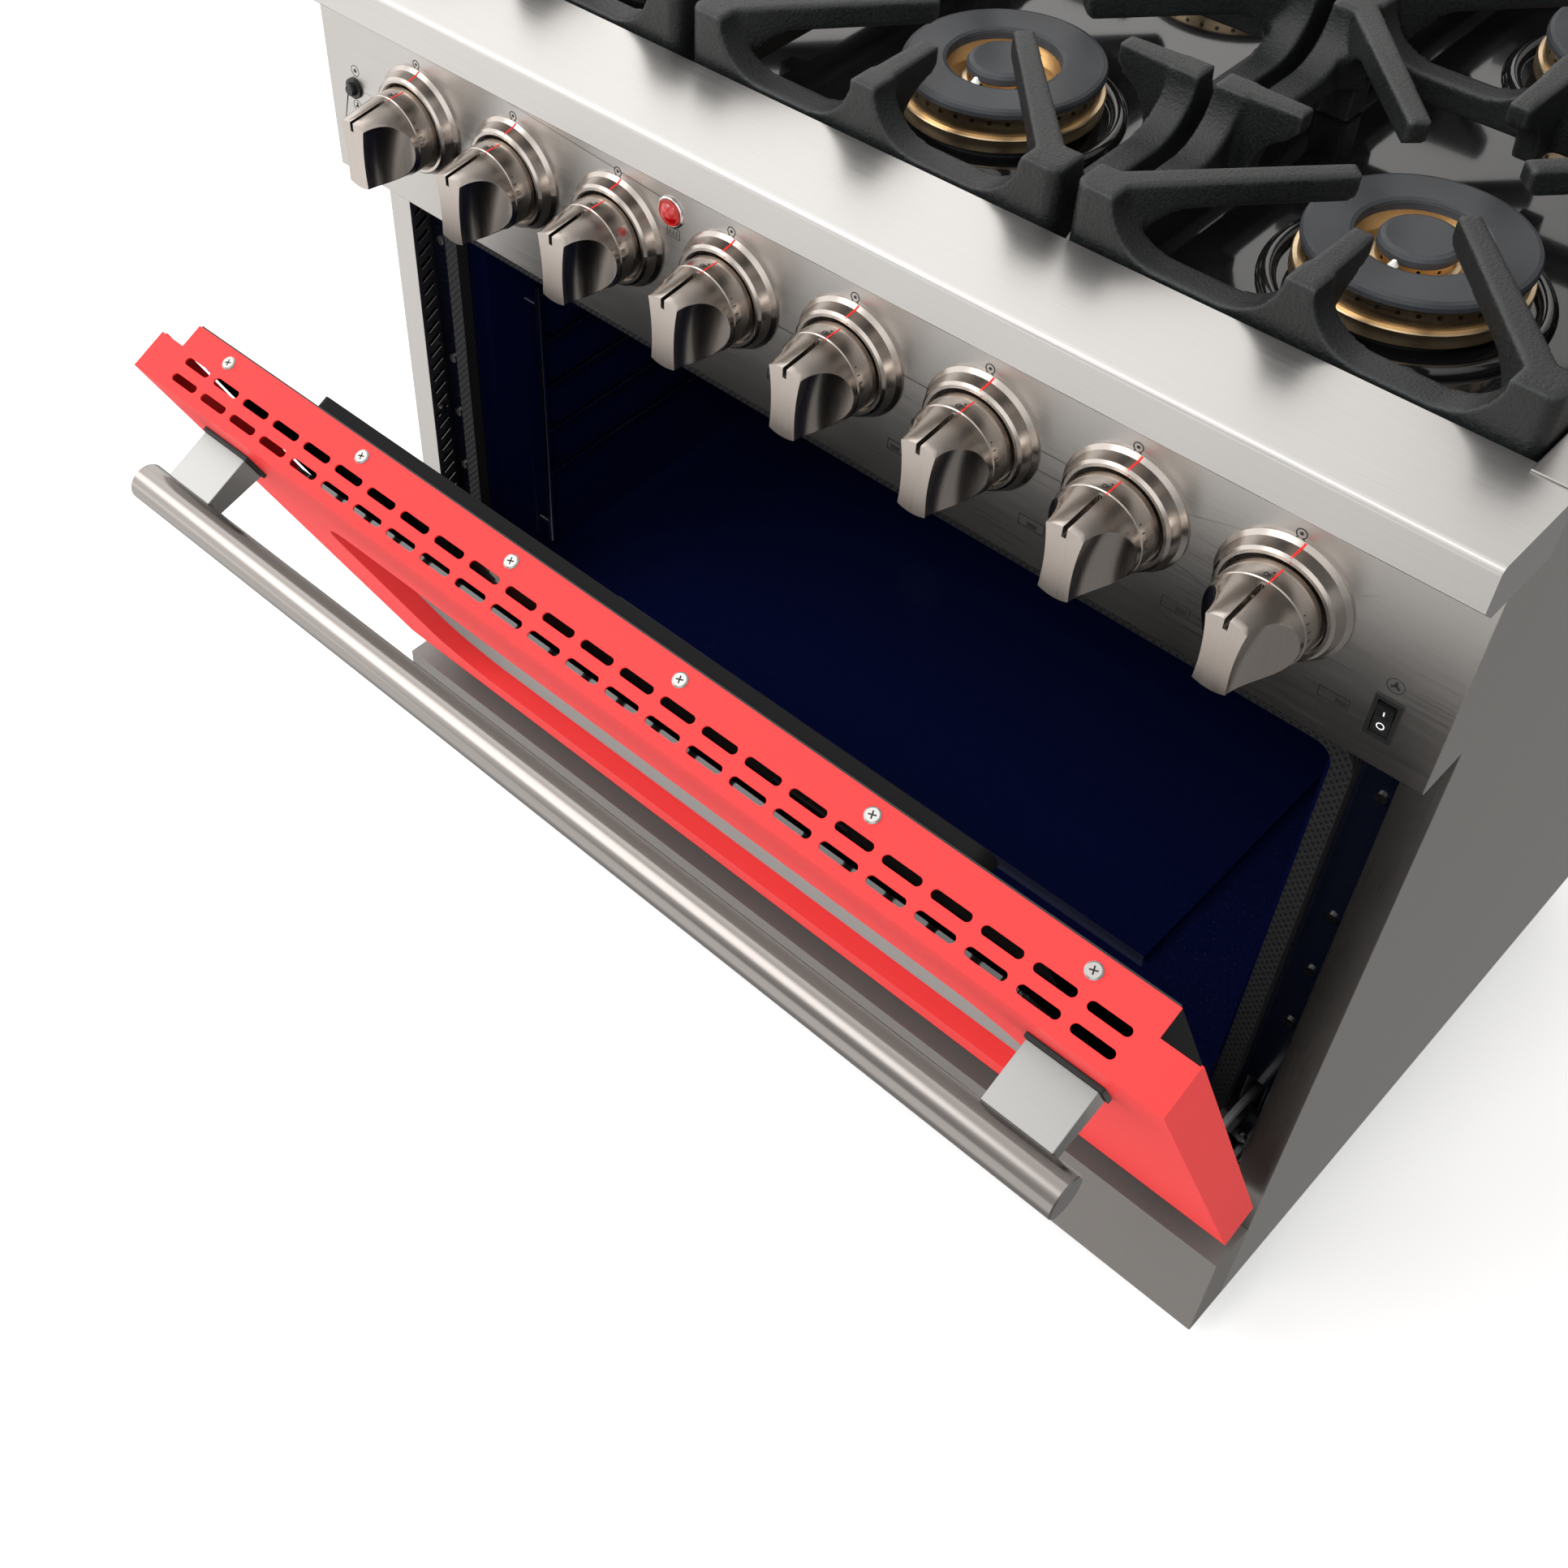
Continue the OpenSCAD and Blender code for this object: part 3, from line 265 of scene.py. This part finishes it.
def glass(name, color, rough=0.03):
    s = Shader(name, color, roughness=rough, Coat_Weight=1.0, Coat_Roughness=0.02, IOR=1.5)
    film = s.noise(40.0, detail=3.0)
    s.gloss(film, rough, rough + 0.05)
    s.tint(s.span(film, 0.0, 1.0), color, [c * 1.3 for c in color])
    return s.mat


def wool(name, color):
    s = Shader(name, color, roughness=0.95, Sheen_Weight=0.4)
    fibre = s.noise(400.0, (1, 4, 1), detail=5.0, rough=0.8)
    s.tint(fibre, [c * 0.6 for c in color], color)
    s.bump(fibre, 0.002, 0.9)
    return s.mat


def ceramic(name, color):
    s = Shader(name, color, roughness=0.18, Coat_Weight=0.8)
    fine = s.noise(500.0, detail=2.0)
    s.tint(s.span(fine, 0.0, 1.0), [c * 0.93 for c in color], color)
    s.gloss(fine, 0.14, 0.26)
    return s.mat


def lens(name, color):
    s = Shader(name, color, roughness=0.12, Coat_Weight=1.0, Transmission_Weight=0.25)
    s.set("Emission Color", (*color, 1.0))
    s.set("Emission Strength", 0.12)
    facets = s.noise(700.0, detail=1.0)
    s.tint(s.span(facets, 0.0, 1.0), [c * 0.6 for c in color], color)
    s.bump(facets, 0.0003, 0.5)
    return s.mat


def print_and_painted_light(name, color):
    s = Shader(name, color, roughness=0.5)
    fine = s.noise(3000.0, detail=2.0)
    s.tint(s.span(fine, 0.0, 1.0), [c * 0.8 for c in color], [min(1.0, c * 1.15 + 0.004) for c in color])
    return s.mat


STEEL = (0.58, 0.56, 0.54)
MATS = {
    "steel_x": brushed("steel_brushed_x", STEEL, "X"),
    "steel_y": brushed("steel_brushed_y", STEEL, "Y"),
    "steel_z": brushed("steel_brushed_z", STEEL, "Z"),
    "kick": brushed("kick_steel", (0.20, 0.19, 0.18), "X", rough=(0.40, 0.55), metallic=0.5),
    "ledge": brushed("ledge_steel", (0.66, 0.645, 0.63), "X", rough=(0.26, 0.42)),
    "galvanised": brushed("galvanised_steel", (0.45, 0.46, 0.47), "X", rough=(0.35, 0.6), contrast=0.15),
    "pan": enamel("pan_enamel", (0.006, 0.006, 0.0065), rough=0.06),
    "oven": enamel("oven_enamel", (0.0022, 0.004, 0.028), rough=0.10, speck=0.35, wave=0.7),
    "frame": enamel("frame_enamel", (0.003, 0.004, 0.010), rough=0.12, speck=0.2),
    "wool": wool("glass_wool", (0.75, 0.68, 0.38)),
    "gasket": braid("gasket_braid", (0.009, 0.009, 0.010)),
    "chrome": brushed("chrome_wire", (0.90, 0.90, 0.90), "Y", rough=(0.06, 0.14), grain=0.3),
    "bulb": glass("lamp_bulb", (0.75, 0.72, 0.62), rough=0.2),
    "brass": turned("turned_brass", (0.86, 0.66, 0.42), rough=(0.26, 0.38), rings=600.0),
    "valve_brass": turned("valve_brass", (0.68, 0.50, 0.26), rough=(0.3, 0.5)),
    "ceramic": ceramic("white_ceramic", (0.85, 0.84, 0.80)),
    "plastic": plastic("black_plastic", (0.008, 0.008, 0.008)),
    "knob": brushed("knob_steel", (0.55, 0.50, 0.46), "Z", rough=(0.14, 0.26), grain=0.6),
    "bezel": brushed("bezel_steel", (0.60, 0.55, 0.51), "Z", rough=(0.16, 0.30), grain=0.6),
    "lens": lens("red_lens", (0.50, 0.004, 0.004)),
    "cast_base": cast("burner_base_cast", (0.012, 0.012, 0.013)),
    "cap": cast("cap_enamel", (0.014, 0.015, 0.017), rough=(0.38, 0.50), lump=0.3),
    "screw": brushed("screw_plate", (0.46, 0.45, 0.44), "X", rough=(0.2, 0.35)),
    "red": paint("red_paint", (0.78, 0.038, 0.038), rough=0.40, specular=0.12, painted_reflection=(0.36, 0.34, 0.33)),
    "glass_dark": glass("door_glass", (0.010, 0.010, 0.011)),
    "black": paint("black_paint", (0.003, 0.003, 0.0034), rough=0.5, specular=0.12),
    "handle": brushed("handle_steel", (0.36, 0.335, 0.32), "X", rough=(0.15, 0.18), grain=0.05, contrast=0.02),
    "post": brushed("post_steel", (0.40, 0.40, 0.395), "X", rough=(0.32, 0.45)),
    "fan": brushed("fan_metal", (0.5, 0.5, 0.5), "X", rough=(0.3, 0.5)),
    "iron": cast("cast_iron", (0.0062, 0.0068, 0.0071), rough=(0.32, 0.52), lump=3.0),
    "print_and_painted_light": print_and_painted_light("black_ink_and_painted_shade", (0.01, 0.01, 0.01)),
    # red lines painted on the knobs and bezels as reflections of red light
    "red_painted_reflection": print_and_painted_light("red_painted_reflection", (0.75, 0.02, 0.015)),
    "white_ink": print_and_painted_light("white_ink", (0.8, 0.8, 0.8)),
}

LOOKS = {
    "steel_x": ["control_panel", "rear_trim"],
    "kick": ["kick_plate"],
    "ledge": ["top_ledge"],
    "steel_y": ["side_rails"],
    "steel_z": ["left_side_panel", "right_side_panel"],
    "galvanised": ["back_panel", "base_pan", "hinge_receivers", "hinge_arms", "gas_manifold", "broil_burner",
                   "bake_burner", "fan_motor", "legs"],
    "pan": ["cooktop_pan"],
    "oven": ["oven_liner", "oven_floor_panel", "fan_cover"],
    "frame": ["face_frame"],
    "wool": ["insulation_wrap"],
    "gasket": ["oven_gasket"],
    "chrome": ["rack_guides"],
    "bulb": ["oven_lamp"],
    "brass": ["burner_rings"],
    "valve_brass": ["gas_valves"],
    "ceramic": ["igniters", "ignition_module"],
    "plastic": ["power_inlet", "switch_frames", "rocker_left", "rocker_right", "push_button", "handle_pads"],
    "knob": KNOBS,
    "bezel": ["knob_bezels"],
    "lens": ["indicator_lamp"],
    "cast_base": ["burner_bases"],
    "cap": ["outer_caps", "inner_caps"],
    "screw": ["cabinet_screws", "door_screws"],
    "red": ["door_skin"],
    "glass_dark": ["door_window_glass", "door_inner_glass"],
    "black": ["door_inner_frame"],
    "handle": ["handle_tube"],
    "post": ["handle_posts"],
    "fan": ["convection_fan"],
    "iron": ["grate_left", "grate_middle", "grate_right"],
}
for look, names in LOOKS.items():
    for node_name in names:
        slots = NODES[node_name].data.materials
        slots.clear()
        slots.append(MATS[look])


# ---------------------------------------------------------------- softer edges on CAD nodes
def soften(node_name, width, segments=2, angle=35):
    """Welds the imported mesh and rounds its sharp edges a little."""
    obj = NODES[node_name]
    weld = obj.modifiers.new("weld", "WELD")
    weld.merge_threshold = 1e-5
    bevel = obj.modifiers.new("bevel", "BEVEL")
    bevel.width = width
    bevel.segments = segments
    bevel.limit_method = "ANGLE"
    bevel.angle_limit = math.radians(angle)
    bevel.harden_normals = False


def recast(node_name, voxel, rounds):
    """Turns a sharp CAD casting into one with soft inner and outer corners."""
    obj = NODES[node_name]
    weld = obj.modifiers.new("weld", "WELD")
    weld.merge_threshold = 1e-5
    remesh = obj.modifiers.new("remesh", "REMESH")
    remesh.mode = "VOXEL"
    remesh.voxel_size = voxel
    remesh.use_smooth_shade = True
    smooth = obj.modifiers.new("smooth", "SMOOTH")
    smooth.factor = 0.5
    smooth.iterations = rounds


for side in ("left", "middle", "right"):
    recast(f"grate_{side}", 0.0021, 1)
for name, width in {
    "top_ledge": 0.0006, "control_panel": 0.0006, "kick_plate": 0.0008,
    "handle_posts": 0.0008, "handle_pads": 0.0008, "left_side_panel": 0.0004, "right_side_panel": 0.0004,
    "side_rails": 0.0006, "rear_trim": 0.0006, "switch_frames": 0.0006, "door_inner_frame": 0.0008,
}.items():
    soften(name, width)
for name in KNOBS:
    soften(name, 0.0005, segments=2, angle=30)


# ---------------------------------------------------------------- printed marks, painted recess shade and painted red reflections
def new_object(name, data):
    obj = bpy.data.objects.new(name, data)
    bpy.context.scene.collection.objects.link(obj)
    return obj


def bar(start, end, width, pieces=1):
    """Quads of a straight stroke."""
    a, b = Vector(start), Vector(end)
    side = Vector((a.y - b.y, b.x - a.x)).normalized() * width / 2
    steps = [a.lerp(b, k / pieces) for k in range(pieces + 1)]
    return [[p - side, q - side, q + side, p + side] for p, q in zip(steps, steps[1:])]


def ring(center, radius, width, stretch=1.0, count=24):
    """Quads of a circle or an ellipse drawn with a line of that width."""
    def spot(k, r):
        turn = 2 * math.pi * k / count
        tall = r + radius * (stretch - 1)
        return Vector((center[0] + r * math.cos(turn), center[1] + tall * math.sin(turn)))
    inner, outer = radius - width / 2, radius + width / 2
    return [[spot(k, inner), spot(k, outer), spot(k + 1, outer), spot(k + 1, inner)] for k in range(count)]


def disc(center, radius, count=12):
    spots = [Vector((center[0] + radius * math.cos(2 * math.pi * k / count),
                     center[1] + radius * math.sin(2 * math.pi * k / count))) for k in range(count)]
    return [[Vector(center), spots[k], spots[(k + 1) % count]] for k in range(count)]


def frame_of(center, width, height, line):
    """Quads of a rectangle's outline."""
    x, z = center
    corners = [(x - width / 2, z - height / 2), (x + width / 2, z - height / 2),
               (x + width / 2, z + height / 2), (x - width / 2, z + height / 2)]
    return [q for k in range(4) for q in bar(corners[k], corners[(k + 1) % 4], line)]


def from_front(u, v):
    """A ray towards the cabinet at x = u, z = v millimetres."""
    return at(u, -130, v), Vector((0, 1, 0))


def round_knob(knob_x):
    """Rays towards a knob's axis: u is millimetres round its skirt from the top, v is from the panel."""
    def ray(u, v):
        turn = u / KNOB_SKIRT_R
        out = Vector((math.sin(turn), 0, math.cos(turn)))
        return at(knob_x, PANEL_Y - v, KNOB_Z) + out * 0.048, -out
    return ray


trees = {}


def mark(name, node_name, body, look, shapes, ray, lift=0.00008):
    """A printed mark, painted shade and painted reflection alike: flat shapes dropped along rays on to a CAD
    node's surface, a hair above it.
    """
    if node_name not in trees:
        mesh = NODES[node_name].data
        trees[node_name] = BVHTree.FromPolygons([v.co.copy() for v in mesh.vertices],
                                                [tuple(p.vertices) for p in mesh.polygons])
    bm = bmesh.new()
    for shape in shapes:
        corners = []
        for u, v in shape:
            start, direction = ray(u, v)
            hit = trees[node_name].ray_cast(start, direction)[0]
            if hit is None:
                break
            corners.append(bm.verts.new(hit - direction * lift))
        else:
            bm.faces.new(corners)
    bmesh.ops.remove_doubles(bm, verts=bm.verts, dist=1e-6)
    mesh = bpy.data.meshes.new(name)
    bm.to_mesh(mesh)
    bm.free()
    obj = new_object(name, mesh)
    obj.data.materials.append(MATS[look])
    thick = obj.modifiers.new("thick", "SOLIDIFY")
    thick.thickness = lift * 0.9
    thick.offset = 0.0
    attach(obj, body)
    return obj


def letters_off(u, v):
    """The word OFF in strokes, with its top towards the panel."""
    shapes = ring((u - 2.7, v), 1.05, 0.6, stretch=1.35)
    for left in (-0.9, 1.5):
        shapes += bar((u + left, v - 1.5), (u + left, v + 1.5), 0.6)
        shapes += bar((u + left, v - 1.3), (u + left + 1.6, v - 1.3), 0.6)
        shapes += bar((u + left, v), (u + left + 1.3, v), 0.6)
    return shapes


def fan_sign(x, z, size):
    shapes = ring((x, z), size, 0.45)
    for k in range(3):
        turn = math.radians(90 + 120 * k)
        tip = (x + size * 0.6 * math.cos(turn), z + size * 0.6 * math.sin(turn))
        shapes += bar((x, z), tip, size * 0.32)
    return shapes


panel_marks = []
for i, knob_name in enumerate(KNOBS):
    kx = (i - 3.5) * KNOB_PITCH
    panel_marks += ring((kx, 850), 3.1, 0.65) + disc((kx, 850), 1.1)
    ray = round_knob(kx)
    signs = letters_off(0, 23.7) + disc((0, 20.2), 0.7)
    for degrees, length in ((52, 1.4), (62, 2.0), (72, 2.6), (82, 3.2)):
        u = math.radians(degrees) * KNOB_SKIRT_R
        signs += bar((u, 25.0 - length / 2), (u, 25.0 + length / 2), 0.7)
    mark(f"{knob_name}_marks", knob_name, knob_name, "print_and_painted_light", signs, ray)
    mark(f"{knob_name}_slot_fill", knob_name, knob_name, "print_and_painted_light",
         bar((0, 32.5), (0, 61.0), 2.3, pieces=6), ray)
    # the red lines on each knob's skirt and bezel are painted reflections of red light, not printed marks
    mark(f"{knob_name}_painted_red_reflection", knob_name, knob_name, "red_painted_reflection",
         bar((2.0, 15.0), (2.0, 28.8), 1.0, pieces=6), ray)
    mark(f"bezel_{i + 1}_painted_red_reflection", "knob_bezels", "cabinet", "red_painted_reflection",
         bar((3.2, 1.6), (2.0, 12.0), 1.0, pieces=10), ray)
for x, fill in ((-6.5, -4.6), (93.5, -3.4), (193.5, 0.5), (293.5, 3.8), (393.5, 4.6)):
    panel_marks += frame_of((x, 757), 18.3, 7.8, 0.65)
    panel_marks += bar((x + fill - 3.4, 756), (x + fill + 3.4, 756), 3.4)
panel_marks += fan_sign(421.7, 787.3, 5.0) + fan_sign(-425, 787.5, 4.6) + ring((-423, 817), 4.2, 0.45)
panel_marks += disc((-423, 817), 1.6)
panel_marks += frame_of((-100, 826), 11.0, 7.0, 0.4)
for x in (-103, -100, -97):
    panel_marks += bar((x, 824), (x, 828), 0.5)
mark("panel_marks", "control_panel", "cabinet", "print_and_painted_light", panel_marks, from_front)
for side, x in (("left", -422), ("right", 422)):
    node_name = f"rocker_{side}"
    mark(f"{node_name}_marks", node_name, node_name, "white_ink",
         bar((x, 765.5), (x, 769.5), 0.8) + ring((x, 757), 2.1, 0.7), from_front)


def over_door(u, v):
    """A ray down on to the closed door's top plate at x = u, y = v, turned open with the door."""
    return door_matrix @ at(u, v, 760), door_matrix.to_3x3() @ Vector((0, 0, -1))


# painted shade: dark crosses stand in for the shade inside the screws' unmodelled recesses
crosses = []
for i in range(6):
    center = Vector(((i - 2.5) * SCREW_PITCH, SCREW_Y))
    for turn in (20, 110):
        arm = Vector((math.cos(math.radians(turn)), math.sin(math.radians(turn)))) * 2.5
        crosses += bar(center - arm, center + arm, 0.9)
mark("door_screw_crosses", "door_screws", "door", "print_and_painted_light", crosses, over_door)


def chrome_ring(name, x, z, radius, thick):
    """A half-round trim ring lying on the control panel."""
    bm = bmesh.new()
    around, across = 48, 10
    loops = []
    for k in range(around):
        turn = 2 * math.pi * k / around
        loop = []
        for m in range(across):
            tilt = 2 * math.pi * m / across
            r = radius + thick * math.cos(tilt)
            place = at(x + r * math.cos(turn), PANEL_Y - 0.4 - thick * math.sin(tilt), z + r * math.sin(turn))
            loop.append(bm.verts.new(place))
        loops.append(loop)
    for k in range(around):
        a, b = loops[k], loops[(k + 1) % around]
        for m in range(across):
            bm.faces.new([a[m], a[(m + 1) % across], b[(m + 1) % across], b[m]])
    bmesh.ops.recalc_face_normals(bm, faces=bm.faces)
    mesh = bpy.data.meshes.new(name)
    bm.to_mesh(mesh)
    bm.free()
    for polygon in mesh.polygons:
        polygon.use_smooth = True
    obj = new_object(name, mesh)
    obj.data.materials.append(MATS["chrome"])
    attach(obj, "cabinet")


chrome_ring("lamp_trim_ring", -102, 841, 10.0, 1.3)


def add_painted_shadow_strip():
    """A thin dark box standing in for the shadow behind the door plate's rear edge: painted shadow."""
    bm = bmesh.new()
    bmesh.ops.create_cube(bm, size=1.0)
    for vert in bm.verts:
        vert.co = door_matrix @ at(vert.co.x * 854, 8.5 + vert.co.y * 1.4, 716.5 + vert.co.z * 5)
    mesh = bpy.data.meshes.new("door_plate_painted_shadow")
    bm.to_mesh(mesh)
    bm.free()
    obj = new_object("door_plate_painted_shadow", mesh)
    obj.data.materials.append(MATS["plastic"])
    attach(obj, "door")


add_painted_shadow_strip()


# ---------------------------------------------------------------- floor, light, camera
def floor():
    mesh = bpy.data.meshes.new("studio_floor")
    bm = bmesh.new()
    bmesh.ops.create_grid(bm, x_segments=1, y_segments=1, size=12.0)
    bm.to_mesh(mesh)
    bm.free()
    obj = new_object("studio_floor", mesh)
    s = Shader("floor_pale", (0.86, 0.86, 0.86), roughness=0.6)
    s.set("Emission Color", (1.0, 1.0, 1.0, 1.0))
    s.set("Emission Strength", 0.32)
    cloud = s.noise(2.0)
    s.tint(s.span(cloud, 0.0, 1.0), (0.85, 0.85, 0.85), (0.88, 0.88, 0.88))
    obj.data.materials.append(s.mat)
    obj.visible_glossy = False


def area_light(name, place, aim, size, power, color=(1, 1, 1)):
    data = bpy.data.lights.new(name, "AREA")
    data.shape = "RECTANGLE"
    data.size, data.size_y = size
    data.energy = power
    data.color = color
    obj = new_object(name, data)
    obj.location = place
    obj.rotation_euler = (Vector(aim) - Vector(place)).to_track_quat("-Z", "Y").to_euler()
    obj.visible_camera = False
    return obj


# soft panels of the studio: towards (x, y, z), edge and middle as cosines, strength
PANELS = [
    ((-0.75, 0.50, 0.43), 0.60, 0.97, 1.00),
    ((-0.10, -0.25, 1.00), 0.55, 0.95, 0.60),
    ((-0.85, -0.50, 0.30), 0.80, 0.95, 0.90),
    ((0.30, -0.95, 0.25), 0.86, 0.97, 0.90),
    ((-0.50, -0.46, 0.71), 0.91, 0.99, 1.90),
]
# the plain backdrop that the camera sees past the floor
BACKDROP = 0.92
# how light the room is above the horizon, below it, and below it on the left
ABOVE, BELOW, BELOW_LEFT = 0.42, 0.24, 0.88


def studio():
    """A dark room with broad soft panels, painted by direction on the world."""
    world = bpy.data.worlds.new("studio")
    bpy.context.scene.world = world
    world.use_nodes = True
    nodes, links = world.node_tree.nodes, world.node_tree.links

    def calc(op, a, b=0.0):
        node = nodes.new("ShaderNodeMath")
        node.operation = op
        for k, v in enumerate((a, b)):
            if isinstance(v, (int, float)):
                node.inputs[k].default_value = v
            else:
                links.new(v, node.inputs[k])
        return node.outputs[0]

    def fade(value, start, end, low, high):
        node = nodes.new("ShaderNodeMapRange")
        node.interpolation_type = "SMOOTHSTEP"
        for key, v in (("From Min", start), ("From Max", end), ("To Min", low), ("To Max", high)):
            node.inputs[key].default_value = v
        links.new(value, node.inputs["Value"])
        return node.outputs["Result"]

    coords = nodes.new("ShaderNodeTexCoord").outputs["Generated"]
    split = nodes.new("ShaderNodeSeparateXYZ")
    links.new(coords, split.inputs["Vector"])
    x, y, z = (split.outputs[k] for k in "XYZ")
    left = calc("MULTIPLY", fade(x, -0.25, 0.20, 1.0, 0.0), fade(y, -0.2, 0.4, 1.0, 0.0))
    left = calc("MULTIPLY", left, fade(z, -0.92, -0.55, 0.15, 1.0))
    below = calc("ADD", calc("MULTIPLY", left, BELOW_LEFT), BELOW)
    up = fade(z, -0.08, 0.12, 0.0, 1.0)
    total = calc("ADD", calc("MULTIPLY", up, ABOVE), calc("MULTIPLY", calc("SUBTRACT", 1.0, up), below))
    for toward, start, end, strength in PANELS:
        dot = nodes.new("ShaderNodeVectorMath")
        dot.operation = "DOT_PRODUCT"
        links.new(coords, dot.inputs[0])
        dot.inputs[1].default_value = Vector(toward).normalized()
        total = calc("ADD", total, fade(dot.outputs["Value"], start, end, 0.0, strength))
    seen = nodes.new("ShaderNodeLightPath").outputs["Is Camera Ray"]
    total = calc("ADD", calc("MULTIPLY", total, calc("SUBTRACT", 1.0, seen)), calc("MULTIPLY", seen, BACKDROP))
    warm = nodes.new("ShaderNodeRGB")
    warm.outputs[0].default_value = (1.0, 0.985, 0.965, 1.0)
    links.new(warm.outputs[0], nodes["Background"].inputs["Color"])
    links.new(total, nodes["Background"].inputs["Strength"])
    key = area_light("key", (-1.6, -1.5, 2.8), (0, 0, 0.6), (2.2, 2.2), 76)
    key.visible_glossy = False
    for name, place, aim, size, power in (
        ("oven_fill", (0.35, -1.15, 1.75), (-0.30, 0.05, 0.45), 0.25, 9),
        ("side_fill", (2.4, -1.2, 1.3), (0.3, -0.2, 0.3), 1.6, 9),
    ):
        area_light(name, place, aim, (size, size), power).visible_glossy = False


def camera():
    """Stands where the reference view was taken from, with the same aim, roll and lens."""
    azimuth, elevation, roll = math.radians(48.16), math.radians(46.47), math.radians(-3.2)
    back = Vector((math.sin(azimuth) * math.cos(elevation), -math.cos(azimuth) * math.cos(elevation),
                   math.sin(elevation)))
    right = Vector((0, 0, 1)).cross(back).normalized()
    up = back.cross(right)
    x_axis = right * math.cos(roll) + up * math.sin(roll)
    y_axis = up * math.cos(roll) - right * math.sin(roll)
    data = bpy.data.cameras.new("camera")
    data.sensor_width = 36.0
    data.lens = 44.78
    data.shift_x = 0.1353
    data.shift_y = -0.0824
    data.clip_start = 0.05
    data.clip_end = 50
    obj = new_object("camera", data)
    place = at(636.35, -809.53, 1553.29)
    turn = Matrix((x_axis, y_axis, back)).transposed().to_4x4()
    obj.matrix_world = Matrix.Translation(place) @ turn
    bpy.context.scene.camera = obj


floor()
studio()
camera()
bpy.context.scene.view_settings.view_transform = "Standard"
